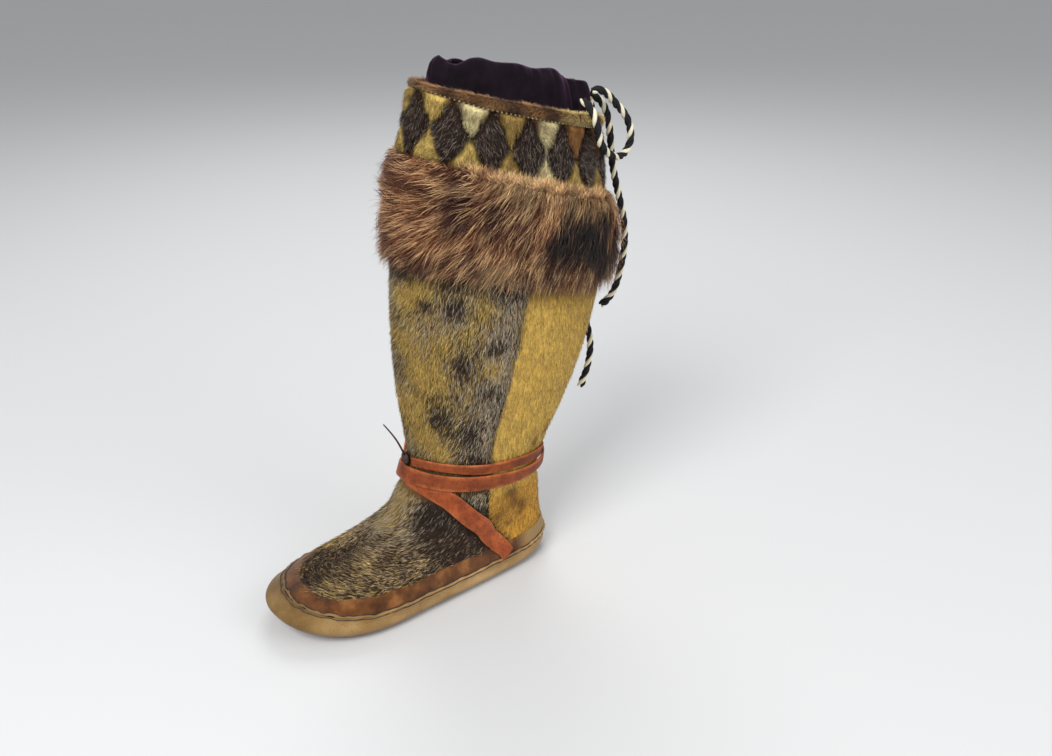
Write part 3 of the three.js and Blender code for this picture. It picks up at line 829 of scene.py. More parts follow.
def make_sole():
    """One piece of hide: a flat fan underneath, spread from a middle point, and the turned-up side."""
    middle = 55
    fan = 0.16
    puckers = 74
    rim = SEAM - SEAM_GAP

    def place(u, v):
        angle = u * 2 * math.pi
        share = np.clip(v / fan, 0, 1)
        edge = skin_point(0.0, angle)
        side = edge[:, 0] * share
        forward = mix(middle, -edge[:, 1], share)
        under = np.stack([side, -forward, ground(forward, side)], -1)
        ring = np.clip((v - fan) / (1 - fan), 0, 1) * rim
        seam = smooth(ring, 3.45, 3.7)
        pucker = np.sin(even_share(angle) * 2 * math.pi * puckers) * smooth(np.cos(angle), -0.2, 0.8)
        folds = noise(skin_point(ring, angle), 16, 21) - 0.5
        lift = SEAM_BEAD * seam + 0.28 * pucker * smooth(ring, 2.8, 3.8)
        lift = lift + 1.1 * folds * smooth(ring, 0.8, 2.0)
        return np.where((v < fan)[:, None], under, skin(ring, angle, lift))

    piece = wrapped_grid("sole_hide", 150, 36, place, wall=SOLE_WALL)
    material = hide_material()
    make_seam(material)
    finish_piece(piece, material, "tan_hide", "sole")


def make_upper():
    """The skin of foot and shaft that the short fur stands on."""
    low = SEAM + SEAM_GAP

    def where(u, v):
        return low + v * (SHAFT_TOP - low), u * 2 * math.pi

    def place(u, v):
        ring, angle = where(u, v)
        return upper_surface(ring, angle)

    def tint(u, v):
        ring, angle = where(u, v)
        return upper_tint(ring, angle, skin_point(ring, angle))

    piece = wrapped_grid("upper_hide", 96, 68, place, tint, UPPER_WALL)
    finish_piece(piece, under_material("under_fur", 0.85), "short_fur", "upper")


def band_top(angle):
    """Ring of the band's uneven upper edge: lower at the toe and higher along the sides."""
    turn = np.abs(turn_of(angle))
    points = skin_point(BAND_TOP, angle)
    ragged = 0.12 * (noise(points, 9, 31) - 0.5) + 0.2 * (noise(points, 40, 32) - 0.5)
    return BAND_TOP + ragged - 0.2 * np.exp(-(turn / 30) ** 2) + 0.2 * np.exp(-((turn - 75) / 28) ** 2)


def make_foot_band():
    low = 4.02

    def place(u, v):
        angle = u * 2 * math.pi
        ring = low + v * (band_top(angle) - low)
        swell = 0.9 * (noise(skin_point(ring, angle), 12, 33) - 0.5)
        round_over = 1 - 0.5 * (2 * v - 1) ** 6
        return skin(ring, angle, 0.2 + BAND_THICKNESS * round_over + swell * (v > 0.05))

    piece = wrapped_grid("suede_band", 224, 12, place, wall=BAND_THICKNESS)
    finish_piece(piece, suede_material(), "brown_suede", "foot_band")


def ring_points(line, side, rise, radius, sides):
    """Rings of points round the stations of a line; side and rise are the directions across it."""
    turns = (2 * math.pi * np.arange(sides) / sides)[:, None]
    ring = side[..., None, :] * np.cos(turns) + rise[..., None, :] * np.sin(turns)
    radius = np.broadcast_to(radius, line.shape[:-1])[..., None, None]
    return (line[..., None, :] + ring * radius).reshape(-1, 3)


def ring_faces(stations, sides, flip=False):
    """Faces between rings of points that follow each other, and a cap at both ends. flip is for
    rings that turn the other way."""
    i = np.arange(stations - 1)[:, None] * sides
    j = np.arange(sides)[None]
    k = (j + 1) % sides
    corners = [i + j, i + k, i + sides + k, i + sides + j]
    caps = [j[:, ::-1], (stations - 1) * sides + j]
    if flip:
        corners = [corners[n] for n in (0, 3, 2, 1)]
        caps = [cap[:, ::-1] for cap in caps]
    return [np.stack(corners, -1).reshape(-1, 4), *caps]


def tube(line, radius, sides=8):
    """Points and faces of a round tube along a line, closed at both ends."""
    side, rise = route_frames(line)
    return ring_points(line, side, rise, radius, sides), ring_faces(len(line), sides)


def make_seam(material):
    """The sewn seam of the sole: an uneven rolled edge of hide, and dark thread on either side of it."""
    stations = 420
    thread_radius = 0.38
    turn = np.linspace(0, 2 * math.pi, stations)
    wander = 0.05 * np.sin(23 * turn) + 0.04 * np.sin(41 * turn + 1) + 0.05 * np.sin(9 * turn + 2)
    edge = skin(SEAM + 0.02 + 0.6 * wander, turn, 1.9 + 3 * wander)
    edge_radius = 1.0 + 0.25 * np.sin(67 * turn) + 0.2 * np.sin(31 * turn)
    finish_piece(mesh_piece("seam_edge", *tube(edge, edge_radius)), material, "tan_hide")
    dark = thong_material("seam_thread")
    for name, ring, lift in (("seam_thread_low", SEAM - 0.17, 1.75), ("seam_thread_high", SEAM + 0.14, 1.6)):
        line = skin(ring + 0.5 * wander, turn, lift + 0.12 * np.sin(70 * turn))
        finish_piece(mesh_piece(name, *tube(line, thread_radius, 6)), dark, "dark_thong")


def make_straps(material):
    """Both straps: a flat leather section with soft cut edges, run along its route."""
    # Corners of the section: across as a share of half the width, up as a share of the thickness
    section = [(-1, 0.15), (-1, 0.85), (-0.93, 1.0), (-0.5, 1.04), (0, 1.05), (0.5, 1.04), (0.93, 1.0),
               (1, 0.85), (1, 0.15), (0.93, 0.0), (0, 0.0), (-0.93, 0.0)]
    edge_corners = (0, 1, 7, 8)
    shoulder_corners = (2, 6)
    for name, node, line in (("strap_outer_leather", "strap_outer", strap_outer_line),
                             ("strap_inner_leather", "strap_inner", strap_inner_line)):
        point, up, across, half = line
        points = np.stack([point + across * (half * side)[:, None] + up * (high * STRAP_THICKNESS)
                           for side, high in section], 1)
        wear = noise(points, 7, 41)[..., None]
        along = np.linspace(0, 1, len(point))[:, None, None]
        worn = mix(1.3, 0.8, smooth(along, 0.12, 0.5))
        tint = np.ones_like(points) * worn * (0.75 + 0.5 * wear)
        for k in edge_corners:
            tint[:, k] = mix(np.array([2.3, 3.2, 5.0]), 1.0, 0.6 * wear[:, k])
        for k in shoulder_corners:
            tint[:, k] = mix(np.array([1.7, 2.2, 3.0]), 1.0, wear[:, k])
        faces = ring_faces(len(point), len(section), flip=True)
        piece = mesh_piece(name, points.reshape(-1, 3), faces, tint.reshape(-1, 3))
        finish_piece(piece, material, "strap_leather", node)


def make_upper_fur():
    """Short flat fur over the mottled front, the golden back panel and the foot."""
    rng = np.random.default_rng(11)
    hair = hair_material("short_fur")

    def build(name, count, low, high, keep, length, width, golden):
        ring, angle = scatter(rng, count, low, high, keep)
        points = skin_point(ring, angle)
        roots = upper_surface(ring, angle, -0.3)
        room = strap_room(roots)
        stay = room > 0.3
        ring, angle, points, roots, room = (a[stay] for a in (ring, angle, points, roots, room))
        n = len(ring)
        foot = 1 - smooth(ring, 6.5, 9.5)
        swirl = 60 * (noise(points, 34, 12) - 0.5)
        side = np.sign(turn_of(angle))
        heading = mix(14 + swirl * 0.6, side * 74 + swirl, foot) + jitter(rng, n, 15)
        if golden:
            heading = heading * 0.4
        close = 1 - smooth(room, 0, 6)
        stand = mix(17, 6, close) + jitter(rng, n, 6)
        way, out = flow(ring, angle, heading, np.clip(stand, 2, 40))
        reach = length * (0.65 + 0.6 * rng.random(n)) * mix(1, 0.55, close)
        vary = rng.random((n, 1))
        if golden:
            shade = np.clip(panel_tone(ring, points)[:, None] + 0.2 * rng.random((n, 1)), 0, 1)
            dark = (rng.random(n) < 0.2)[:, None]
            gold = mix(GOLD, PALE_GOLD, vary) * mix(0.8, 2.0, rng.random((n, 1)) ** 2)
            tip = mix(gold * heel_warmth(ring), PANEL_BROWN, shade)
            tip = np.where(dark, mix(OLIVE, PANEL_BROWN, shade), tip)
            root = mix(mix(GOLD * heel_warmth(ring), OLIVE, 0.45), PANEL_BROWN * 0.8, shade)
        else:
            light, gold = mottle(ring, angle, points)
            warm = mix(GOLD, PALE_GOLD, vary)
            cool = mix(mix(SILVER, CREAM_TIP, vary), TAN_TIP, 0.75 * foot[:, None])
            bright = np.where((rng.random(n) < gold)[:, None], warm, cool)
            bright = bright * mix(0.75, 2.2, rng.random((n, 1)) ** 2)
            deep = mix(DARK * 0.7, BROWN, vary ** 2) * mix(1.0, np.array([1.0, 0.82, 0.7]), foot[:, None])
            lit = (rng.random(n) < 0.1 + 0.85 * light)[:, None]
            # Painted shade along the seam between the golden panel and the mottled front: hairs next to it
            # are darker.
            seam = np.exp(-(panel_edge(ring, angle) / 2.5) ** 2)[:, None]
            tip = np.where(lit, bright, deep) * mix(1, 0.45, seam)
            root = np.where(lit, mix(BROWN, OLIVE, gold[:, None]), DARK * 0.6) * mix(1, 0.6, seam)
        shadow = mix(1, 0.5, np.maximum(close, smooth(ring, 15.3, 15.7)))[:, None]
        tip = tip * shadow
        root = np.broadcast_to(root, (n, 3)) * shadow
        made = hair_piece(name, roots, way * reach[:, None], None, out, width, root, tip)
        finish_piece(made, hair, "short_fur")

    def front(ring, angle):
        return np.where(on_panel(ring, angle) | (ring < band_top(angle) - 0.06), 0, 1)

    def back(ring, angle):
        return np.where(on_panel(ring, angle), 1, 0)

    ankle = 8.6
    top = CUFF_BOTTOM + 0.15
    build("shaft_fur", 37000, ankle, top, front, length=6.5, width=0.54, golden=False)
    build("panel_fur", 26000, 4.9, top, back, length=5.2, width=0.6, golden=True)
    build("foot_fur", 27000, BAND_TOP - 0.4, ankle, front, length=6.6, width=0.54, golden=False)


def mosaic_top(angle):
    """Ring where the mosaic ends: higher in front, where the binding is narrow."""
    wide = smooth(np.abs(turn_of(angle)), 0, 70)
    return MOSAIC_TOP + mix(0.07, -0.03, wide)


def mosaic_place(ring, angle):
    """Place in the mosaic: across the diamond from -0.5 to 0.5, up it from 0 to 1, and its number."""
    across = even_share(angle) * DIAMONDS - DIAMOND_PHASE
    number = np.round(across)
    return across - number, (ring - CUFF_TOP) / (mosaic_top(angle) - CUFF_TOP), number.astype(int) % DIAMONDS


MOSAIC_DARK = colour(56, 40, 31)
MOSAIC_GREY = colour(214, 192, 172)
MOSAIC_TONES = np.array([colour(222, 190, 108), colour(250, 234, 176), colour(182, 150, 80),
                         colour(172, 120, 66), colour(120, 84, 52)])
# Tone of each triangle between the diamonds, counted from the front round the outer side
UPPER_TONES = np.array([0, 0, 1, 2, 1, 3, 4, 0, 2, 1, 3, 0, 2, 1])
LOWER_TONES = np.array([0, 0, 0, 2, 1, 0, 2, 3, 1, 0, 2, 1, 0, 2])
MOSAIC_LIFT = 2.4


def mosaic_patch(across, up, number):
    """Whether a place is on a diamond, the tone of its triangle, how far it is from the patch's edge,
    and the patch's number, which is 0 for every diamond."""
    wave = 0.05 * np.sin(across * 31 + number * 2.3) + 0.05 * np.sin(up * 23 + number * 1.7)
    edge = 1 + wave - np.abs(across) * 2 - np.abs(up - 0.5) * 2
    diamond = edge > 0
    top = up > 0.5
    neighbour = (number + (across > 0)) % DIAMONDS
    tone = np.where(top, UPPER_TONES[neighbour], LOWER_TONES[neighbour])
    patch = np.where(diamond, 0, 1 + neighbour * 2 + top)
    return diamond, tone, np.abs(edge), patch


def make_mosaic():
    rng = np.random.default_rng(23)
    hair = hair_material("mosaic_fur", 0.5)

    def where(u, v):
        angle = even_angle(u)
        return CUFF_TOP - 0.1 + v * (np.minimum(mosaic_top(angle) + 0.08, 18.99) - CUFF_TOP), angle

    def crown(ring, angle):
        across, up, number = mosaic_place(ring, angle)
        edge = mosaic_patch(across, up, number)[2]
        ends = np.minimum(smooth(up, -0.08, 0.1), smooth(1.0 - up, -0.05, 0.1))
        return 1.1 + MOSAIC_LIFT * smooth(edge, 0.0, 0.35) * ends

    def colours(ring, angle):
        """Colour of each place, with painted shade that makes it darker and browner in the corners of a
        patch; its edge and its patch.
        """
        across, up, number = mosaic_place(ring, angle)
        diamond, tone, edge, patch = mosaic_patch(across, up, number)
        # Painted shade in the corners of each patch; the spots are the fur's own brown spots.
        corner = smooth(np.abs(np.abs(across) - 0.5), 0.2, 0.4)[:, None]
        spots = smooth(noise(skin_point(ring, angle), 6, 71), 0.5, 0.85)[:, None]
        light = mix(MOSAIC_TONES[tone], colour(96, 64, 34), np.clip(0.85 * corner + 0.55 * spots, 0, 1))
        return np.where(diamond[:, None], MOSAIC_DARK, light), edge, patch

    def place(u, v):
        ring, angle = where(u, v)
        return skin(ring, angle, crown(ring, angle))

    def tint(u, v):
        base, edge, _ = colours(*where(u, v))
        # Painted shade: the hide is darkest in the grooves along the edges of the patches, where the crown
        # dips.
        return base * mix(0.2, 0.9, smooth(edge, 0, 0.35))[:, None]

    hide = wrapped_grid("mosaic_hide", DIAMONDS * 16, 16, place, tint, wall=0.9)
    finish_piece(hide, under_material("under_mosaic", 0.9), "mosaic_fur", "mosaic_band")

    def below_binding(ring, angle):
        return np.where(ring < mosaic_top(angle) - 0.01, 1, 0)

    ring, angle = scatter(rng, 28000, CUFF_TOP - 0.05, 18.98, below_binding)
    base, edge, patch = colours(ring, angle)
    n = len(ring)
    # The hair of every patch lies its own way, and fans out on the triangles
    triangle_way = (patch * 2654435 % 97) / 97 - 0.5
    diamond = (patch == 0)[:, None]
    diamond_way = np.sin(np.floor(even_share(angle) * DIAMONDS - DIAMOND_PHASE + 0.5) * 2.1)
    across = mosaic_place(ring, angle)[0]
    fan = 120 * (across - np.sign(across) * 0.5)
    heading = np.where(diamond[:, 0], 35 * diamond_way, 90 * triangle_way + fan)
    heading = heading + 40 * (noise(skin_point(ring, angle), 8, 72) - 0.5) + jitter(rng, n, 16)
    way, out = flow(ring, angle, heading, np.clip(24 + jitter(rng, n, 8), 6, 50))
    length = (3.0 + 3.4 * rng.random(n)) * mix(0.7, 1, smooth(edge, 0, 0.25))
    roots = skin(ring, angle, crown(ring, angle) - 0.3)
    lift = rng.random((n, 1))
    grey = mix(MOSAIC_DARK, MOSAIC_GREY, 0.35 + 0.65 * rng.random((n, 1)))
    deep = np.where(rng.random((n, 1)) < 0.24, grey * 1.3, MOSAIC_DARK * mix(0.3, 1.1, lift))
    shade = np.where(rng.random((n, 1)) < 0.3, colour(84, 56, 32), base * mix(0.7, 2.1, lift ** 2))
    tip = np.where(diamond, deep, shade)
    # Roots are darker than the tips; on the triangles they are darker still near the patch edges, as painted
    # shade in the grooves.
    root = base * np.where(diamond, 0.35, mix(0.2, 0.55, smooth(edge, 0, 0.2)[:, None]))
    piece = hair_piece("mosaic_fur", roots, way * length[:, None], None, out, 0.48, root, tip)
    finish_piece(piece, hair, "mosaic_fur")


def make_binding():
    """Narrow strip of brown fur over the top edge."""
    rng = np.random.default_rng(29)
    # Its section: share of the way to the top edge, lift off the skin, and height over the edge
    table = np.array([(0.1, 0.9, 0.0), (0.35, 3.2, 0.0), (0.7, 4.4, 0.0), (1.0, 4.2, 0.6),
                      (1.0, 2.6, 2.2), (1.0, 0.4, 2.8), (1.0, -1.5, 2.4), (1.0, -2.2, 1.2)])

    def surface(angle, v):
        at = v * (len(table) - 1)
        share, lift, over = (read_column(table[:, i], at) for i in range(3))
        thin = mix(0.6, 1.0, smooth(np.abs(turn_of(angle)), 10, 70))
        low = mosaic_top(angle)
        ring = low + np.clip(share, 0, 1) * (SHAFT_TOP - low)
        points = skin(ring, angle, np.where(lift > 0, lift * thin, lift))
        points[..., 2] += over * thin
        return points

    piece = wrapped_grid("binding_hide", 168, 14, lambda u, v: surface(even_angle(u), v),
                         lambda u, v: np.broadcast_to(colour(96, 66, 42), (len(u), 3)), wall=0.8)
    finish_piece(piece, under_material("under_binding", 0.8), "binding_fur", "top_binding")

    n = 10500
    hairy_share = 0.86
    angle = even_angle(rng.random(n))
    v = rng.random(n) * hairy_share
    roots = surface(angle, v)
    over = surface(angle, v + 0.02) - surface(angle, v - 0.02)
    out = unit(np.cross(surface(angle + 0.01, v) - surface(angle - 0.01, v), over))
    down = -unit(over)
    round_ = unit(np.cross(down, out))
    tuft = noise(roots, 7, 57) - 0.5
    swing = np.radians(35 + 40 * noise(roots, 14, 55) + 50 * tuft + jitter(rng, n, 18))[:, None]
    along = down * np.cos(swing) + round_ * np.sin(swing)
    way = unit(along * 0.88 + out * np.clip(0.42 + 0.3 * tuft + jitter(rng, n, 0.14), 0.1, 0.9)[:, None])
    tone = noise(roots, 16, 56)[:, None]
    behind = smooth(turn_of(angle), 92, 118)[:, None]
    pale = mix(colour(196, 146, 92), colour(236, 206, 132), behind)
    light = np.clip(1.5 * tone - 0.55 + 0.6 * tuft[:, None] + 0.35 * behind + 0.45 * rng.random((n, 1)), 0, 1)
    tip = mix(colour(74, 46, 28), pale, light)
    reach = (2.6 + 3.0 * rng.random((n, 1))) * (1 + 0.6 * tuft[:, None])
    made = hair_piece("binding_fur", roots - out * 0.2, way * reach, None, out, 0.46, tip * 0.45, tip)
    finish_piece(made, hair_material("binding_fur"), "binding_fur")


def make_stitches():
    """The row of stitches at the binding's lower edge, each a short slanted loop of thread."""
    count = 118
    sides = 6
    slant = 0.0014
    lift = 3.3
    # Share of the stitch's length, radius of the thread, and rise off the fur
    section = np.array([(0, 0.15, -0.3), (0.2, 0.42, 0), (0.5, 0.48, 0.15), (0.8, 0.42, 0), (1, 0.15, -0.3)])
    along, radius, rise = section.T
    share = (np.arange(count) + 0.5) / count
    angle = even_angle(share)
    low = mosaic_top(angle)
    start = skin(low + 0.004, even_angle(share - slant), lift)
    end = skin(low - 0.012, even_angle(share + slant), lift)
    out = skin_ways(low, angle)[2]
    side = unit(np.cross(unit(end - start), out))
    line = mix(start[:, None], end[:, None], along[:, None]) + out[:, None] * rise[:, None]
    points = ring_points(line, side[:, None], out[:, None], radius, sides)
    quads = ring_faces(len(section), sides)[0]
    faces = (np.arange(count)[:, None, None] * len(section) * sides + quads).reshape(-1, 4)
    piece = mesh_piece("binding_stitches", points, faces[:, ::-1])
    close_edges(piece, bpy.ops.mesh.edge_face_add)
    finish_piece(piece, thread_material(), "twisted_cord")


# Cloth collar in millimetres: rise over the top of the shaft, inset towards the middle, and how
# much more of both where it leans over the mouth on the outer side
COLLAR_RISE_FRONT, COLLAR_RISE_BACK = 17, 28
COLLAR_INSET = {"front": 17, "side": 7, "back": 9}
COLLAR_LEAN_RISE, COLLAR_LEAN_INSET = 7, 9
COLLAR_SEAT = UPPER_WALL + 0.6
# From its foot to its hem: shares of the rise, the inset and the gathers' depth, and wall thickness
COLLAR_ROWS = np.array([
    [-0.45, 0.00, 0.0, 1.6],
    [-0.10, 0.04, 0.0, 1.6],
    [0.12, 0.38, 0.3, 1.6],
    [0.45, 0.46, 0.8, 2.6],
    [0.80, 0.62, 1.0, 5.0],
    [0.97, 0.90, 0.9, 3.5],
])
GATHERS = 10
GATHER_DEPTH = 1.6


def collar_surface(angle, at, depth_share):
    """A point of the collar: angle, row of its table, and how far through its wall."""
    rise, inset, wave_share, wall = (read_column(COLLAR_ROWS[:, i], at) for i in range(4))
    base = skin_point(SHAFT_TOP, angle)
    outward = skin_ways(SHAFT_TOP, angle)[2].copy()
    outward[..., 2] = 0
    outward = unit(outward)
    turn = even_share(angle) * 2 * math.pi
    wave = np.sin(GATHERS * turn) + 0.5 * np.sin(7 * turn + 1.3)
    fine = 0.35 * np.sin(31 * turn + 2 * np.sin(3 * turn)) + 0.25 * np.sin(47 * turn + 1)
    front = (1 + np.cos(angle)) / 2
    end = np.where(np.cos(angle) > 0, COLLAR_INSET["front"], COLLAR_INSET["back"])
    lean = smooth(np.sin(angle), 0.55, 0.95)
    drawn = mix(COLLAR_INSET["side"], end, np.cos(angle) ** 2) + COLLAR_LEAN_INSET * lean
    height = mix(COLLAR_RISE_BACK, COLLAR_RISE_FRONT, front) + COLLAR_LEAN_RISE * lean
    move = COLLAR_SEAT + inset * drawn - wave_share * (wave + fine * smooth(at, 1.5, 3.0)) * GATHER_DEPTH
    points = base - outward * (move + wall * depth_share)[..., None]
    points[..., 2] += rise * height + np.maximum(rise, 0) * wave * GATHER_DEPTH * 0.8
    return points


def make_collar():
    last = len(COLLAR_ROWS) - 1

    def place(u, v):
        angle = even_angle(u)
        side = v * 2
        at = np.where(side < 1, side, 2 - side) * last
        top = np.exp(-((at - last) / 0.5) ** 2)
        through = smooth(side, 0.93, 1.07)
        points = collar_surface(angle, at, through)
        points[..., 2] += top * 1.3
        return points

    piece = wrapped_grid("velvet_collar", 240, 52, place)
    close_edges(piece, bpy.ops.mesh.bridge_edge_loops)
    finish_piece(piece, velvet_material(), "dark_velvet", "cloth_collar")


# Deep cuff: ring and depth of the fur over the skin, the same as its solid
CUFF_LEVELS = np.array([15.4, 15.75, 16.1, 16.7, 17.3, 17.8, 18.0, 18.15])
CUFF_DEPTHS = np.array([5.0, 8.0, 12.0, 15.0, 15.5, 14.0, 10.0, 4.0])
CUFF_TAN = colour(255, 212, 152)
CUFF_BROWN = colour(150, 84, 50)
CUFF_MAROON = colour(90, 42, 32)
CUFF_BLACK = colour(36, 24, 18)
# The cuff's black patch, and the blond one at its lower edge: ring, angle, size and strength
CUFF_DARK_ROWS = [
    [17.20, 106, 16, 0.7],
    [17.00, 121, 24, 0.8],
    [16.70, 140, 26, 0.6],
]
CUFF_BLOND_ROWS = [[16.00, 74, 13, 1.0]]


def cuff_dark(points):
    ragged = 0.9 * (noise(points, 7, 67) - 0.5) + 0.5 * (noise(points, 14, 68) - 0.5)
    return smooth(patches(points, CUFF_DARK_ROWS, 3) + ragged, 0.05, 0.75)[:, None]


def cuff_tone(ring, angle, points):
    """Colour of the cuff's fur: brown and maroon, black in one patch behind, and paler along the
    upper edge and in the blond patch."""
    wide = 0.6 * noise(points, 22, 61) + 0.4 * noise(points, 9, 65)
    base = mix(CUFF_BROWN, CUFF_MAROON, smooth(wide, 0.35, 0.72)[:, None])
    base = mix(base, CUFF_BLACK, cuff_dark(points))
    pale = smooth(ring, 17.6, 17.9) * smooth(np.abs(turn_of(angle)), 52, 75)
    pale = pale + patches(points, CUFF_BLOND_ROWS, 3)
    return mix(base, CUFF_TAN, 0.45 * pale[:, None])


def make_cuff():
    rng = np.random.default_rng(37)
    core_share = 0.62

    def where(u, v):
        return CUFF_BOTTOM - 0.05 + v * (CUFF_TOP + 0.06 - CUFF_BOTTOM), even_angle(u)

    def place(u, v):
        ring, angle = where(u, v)
        depth = np.interp(ring, CUFF_LEVELS, CUFF_DEPTHS) * core_share
        ends = np.minimum(smooth(v, 0, 0.16), smooth(1 - v, 0, 0.12))
        return skin(ring, angle, mix(1.2, depth, ends) + 2 * (noise(skin_point(ring, angle), 14, 62) - 0.5))

    def tint(u, v):
        ring, angle = where(u, v)
        return cuff_tone(ring, angle, skin_point(ring, angle)) * 0.6

    core = wrapped_grid("cuff_core", 120, 16, place, tint, wall=0.9)
    finish_piece(core, under_material("under_cuff", 0.8), "long_fur", "fur_cuff")
    hair = hair_material("long_fur", 0.4)
    hem_ring = CUFF_BOTTOM + 0.02

    def strands(name, count, length, width, stand, share, curved, tip_light, low=hem_ring, keep=None):
        """One layer of the cuff's hair. With keep, its hairs stand up over the upper edge."""
        ring, angle = scatter(rng, count, low, CUFF_TOP + 0.04, keep)
        points = skin_point(ring, angle)
        n = len(ring)
        clump = noise(points, 8, 63) - 0.5
        lock = noise(points * np.array([1, 1, 2.2]), 7, 66)
        turn = turn_of(angle)
        front = np.exp(-((turn - 8) / 42) ** 2)
        hem = 1 - smooth(ring, 15.8, 16.3)
        heading = mix(mix(42, 78, front), 20, 0.6 * hem) + 45 * (noise(points, 30, 64) - 0.5)
        heading = heading + 60 * clump + jitter(rng, n, 9)
        tops = smooth(ring, 17.7, 18.0)
        if keep is not None:
            heading = 165 - 50 * clump + jitter(rng, n, 24)
            tops = tops * 0
        lean = stand * mix(1, 0.65, front) + 16 * tops + 18 * clump + jitter(rng, n, 6)
        way, out = flow(ring, angle, heading, np.clip(lean, 4, 75))
        reach = length * (0.6 + 0.6 * rng.random(n)) * mix(1, 0.55, tops)
        reach = reach * mix(0.75, 1, smooth(ring, 15.7, 16.2)) * mix(1, 0.82, front)
        depth = np.interp(ring, CUFF_LEVELS, CUFF_DEPTHS) * core_share
        roots = skin(ring, angle, depth * share)
        tone = cuff_tone(ring, angle, points)
        dark = cuff_dark(points)
        chance = tip_light * mix(0.2, 1.6, smooth(lock, 0.3, 0.7)) * (1 - 0.9 * dark[:, 0])
        bright = (rng.random(n) < chance)[:, None]
        tan = mix(CUFF_TAN, tone, 0.4 * rng.random((n, 1))) * mix(0.8, 2.0, rng.random((n, 1)) ** 2)
        tan = mix(tan, CUFF_BROWN * 0.8, 0.8 * dark)
        tip = np.where(bright, tan, tone * mix(0.45, 1.2, rng.random((n, 1))))
        first = way * (reach * 0.5)[:, None]
        second = None
        if curved:
            droop = unit(way - out * 0.35 + np.array([0, 0, -0.25]))
            second = droop * (reach * 0.5)[:, None]
        else:
            first = first * 2
        shade = mix(0.25, 0.7, smooth(lock, 0.3, 0.7))[:, None]
        made = hair_piece(name, roots, first, second, out, width, tone * shade, tip)
        finish_piece(made, hair, "long_fur")

    def side_only(ring, angle):
        return smooth(turn_of(angle), 42, 62) * (1 - smooth(turn_of(angle), 128, 150))

    strands("cuff_underfur", 24000, length=9, width=0.55, stand=32, share=0.85, curved=False, tip_light=0.3)
    strands("cuff_guard_hair", 18000, length=23, width=0.42, stand=27, share=0.9, curved=True, tip_light=0.46)
    strands("cuff_fringe", 2800, length=10, width=0.42, stand=30, share=0.85, curved=True, tip_light=1.0,
            low=17.88, keep=side_only)


def smooth_route(points, step):
    """A smooth line through given points, in even steps."""
    given = np.array(points, float)
    at = np.linspace(0, len(given) - 1, 40 * len(given))
    line = np.stack([read_column(given[:, i], at) for i in range(3)], 1)
    reach = np.concatenate([[0], np.cumsum(np.linalg.norm(np.diff(line, axis=0), axis=1))])
    count = int(round(reach[-1] / step))
    want = np.linspace(0, reach[-1], count + 1)
    return np.stack([np.interp(want, reach, line[:, i]) for i in range(3)], 1), reach[-1]


def route_frames(line):
    """Two directions across a line at each of its stations, without a twist along it."""
    ahead = unit(np.gradient(line, axis=0))
    side = [unit(np.cross(ahead[0], [0.3, 0.2, 1.0]))]
    for way in ahead[1:]:
        last = side[-1]
        side.append(unit(last - way * (last @ way)))
    side = np.array(side)
    return side, np.cross(ahead, side)


CREAM = colour(232, 224, 196)
BLACK_PLY = colour(24, 22, 26)
PLY_PITCH = 19.0


def make_cord(name, node, route, end_splay):
    """Twisted cord of one cream and two black plies; the free end comes untwisted."""
    step = 1.1
    line, length = smooth_route(route, step)
    side, rise = route_frames(line)
    along = np.linspace(0, length, len(line))
    radius = CORD_DIAMETER / 2
    ply = radius * 0.56
    sides = 8
    points, faces, tints = [], [], []
    loose = smooth(along, length - end_splay, length) if end_splay else np.zeros(len(line))
    for number, tone in enumerate((CREAM, BLACK_PLY, BLACK_PLY)):
        turn = 2 * math.pi * (along / PLY_PITCH + number / 3)
        orbit = (radius - ply) * (1 + 0.5 * loose)
        centre = line + (side * np.cos(turn)[:, None] + rise * np.sin(turn)[:, None]) * orbit[:, None]
        way = unit(np.gradient(centre, axis=0))
        across = unit(np.cross(way, side + 1e-3))
        thick = ply * np.where(along < 1.5, 0.75, 1.0) * (1 - 0.45 * smooth(along, length - 4, length))
        points.append(ring_points(centre, across, np.cross(way, across), thick, sides))
        faces += [number * len(line) * sides + rows for rows in ring_faces(len(line), sides)]
        tints.append(np.broadcast_to(tone, (len(line) * sides, 3)))
    piece = mesh_piece(name, np.concatenate(points), faces, np.concatenate(tints))
    finish_piece(piece, cord_material(), "twisted_cord", node)
    return piece, line, length


def make_cords():
    for name, node, route, splay, far in (
        ("cord_loop", "drawstring_loop", LOOP_ROUTE, 0, "object"),
        ("cord_tail_a", "drawstring_tail_a", TAIL_A_ROUTE, 14, "bare"),
        ("cord_tail_b", "drawstring_tail_b", TAIL_B_ROUTE, 14, "bare"),
    ):
        piece, line, length = make_cord(name, node, route, splay)


def make_knot_and_thong():
    """The small knot where the straps meet in front, and the stiff end that tapers from it."""
    material = thong_material("dark_thong")
    low, high = (np.array(corner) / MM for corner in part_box("strap_knot"))
    centre = (low + high) / 2
    half = (high - low) / 2
    deselect()
    bpy.ops.mesh.primitive_uv_sphere_add(segments=32, ring_count=20, radius=1)
    knot = bpy.context.object
    knot.name = "knot"
    flat = np.empty(len(knot.data.vertices) * 3)
    knot.data.vertices.foreach_get("co", flat)
    ball = flat.reshape(-1, 3)
    swell = 1 - 0.16 * np.abs(np.sin(3 * np.arctan2(ball[:, 2], ball[:, 0]) + 2.2 * ball[:, 1]))[:, None]
    knot.data.vertices.foreach_set("co", ((centre + ball * half * swell) * MM).ravel())
    bpy.ops.object.shade_smooth()
    finish_piece(knot, material, "dark_thong", "strap_knot")

    line, length = smooth_route(THONG_ROUTE, 1.5)
    taper = 1 - 0.45 * np.linspace(0, 1, len(line))
    thong = mesh_piece("thong", *tube(line, THONG_DIAMETER / 2 * taper, 10))
    finish_piece(thong, material, "dark_thong", "thong_end")


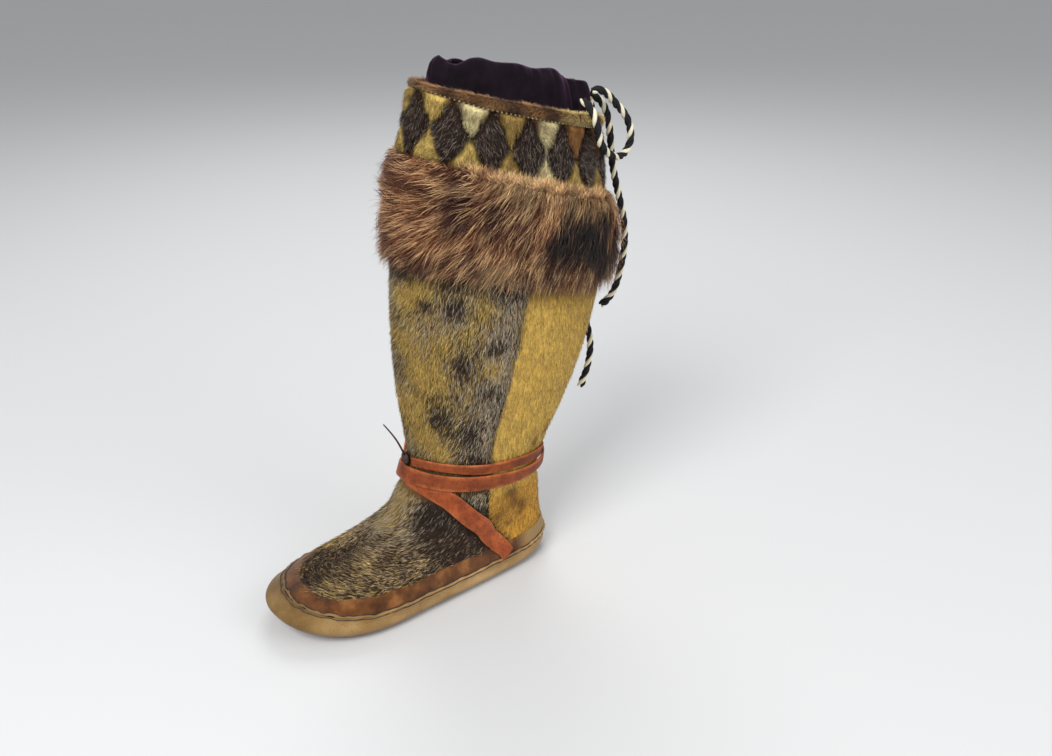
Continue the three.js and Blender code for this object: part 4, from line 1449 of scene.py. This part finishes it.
def make_camera():
    turn, dip, roll = (math.radians(a) for a in (CAMERA_TURN, CAMERA_DIP, CAMERA_ROLL))
    back = Vector((math.cos(turn) * math.cos(dip), -math.sin(turn) * math.cos(dip), math.sin(dip)))
    level = Vector((0, 0, 1)).cross(back).normalized()
    upright = back.cross(level)
    right = math.cos(roll) * level + math.sin(roll) * upright
    up = back.cross(right)
    data = bpy.data.cameras.new("camera")
    data.lens = CAMERA_LENS
    data.sensor_width = 36
    data.sensor_fit = "HORIZONTAL"
    data.clip_start = 0.01
    camera = bpy.data.objects.new("camera", data)
    camera.matrix_world = Matrix.Translation(CAMERA_PLACE) @ Matrix((right, up, back)).transposed().to_4x4()
    bpy.context.scene.collection.objects.link(camera)
    bpy.context.scene.camera = camera


def make_stage():
    """Pale floor, soft studio lights and a pale surrounding."""
    deselect()
    bpy.ops.mesh.primitive_plane_add(size=60, location=(0, 0, -0.0002))
    floor = bpy.context.object
    floor.name = "floor"
    made, _, shader = new_material("pale_floor", 0.75, 0.2)
    shader.inputs["Base Color"].default_value = (*colour(204, 204, 204), 1)
    floor.data.materials.append(made)
    world = bpy.data.worlds.new("studio")
    world.use_nodes = True
    background = world.node_tree.nodes["Background"].inputs
    background["Color"].default_value = (0.8, 0.82, 0.85, 1)
    background["Strength"].default_value = 0.6
    bpy.context.scene.world = world
    target = Vector((0, 0, 0.2))
    # Place and size in metres, power in watts
    for name, place, size, power in (
        ("key", (0.9, -1.3, 1.7), 1.0, 44),
        ("fill", (1.6, 1.0, 1.1), 1.4, 17),
        ("rim", (-1.2, 0.6, 1.6), 1.0, 14),
    ):
        light = bpy.data.lights.new(name, "AREA")
        light.size = size
        light.energy = power
        lamp = bpy.data.objects.new(name, light)
        lamp.location = place
        lamp.rotation_euler = (target - Vector(place)).to_track_quat("-Z", "Y").to_euler()
        bpy.context.scene.collection.objects.link(lamp)
    bpy.context.scene.view_settings.view_transform = "Standard"


make_camera()
make_cords()
make_knot_and_thong()
make_sole()
make_upper()
make_foot_band()
make_straps(strap_material())
make_collar()
make_mosaic()
make_binding()
make_stitches()
make_cuff()
make_upper_fur()
make_stage()
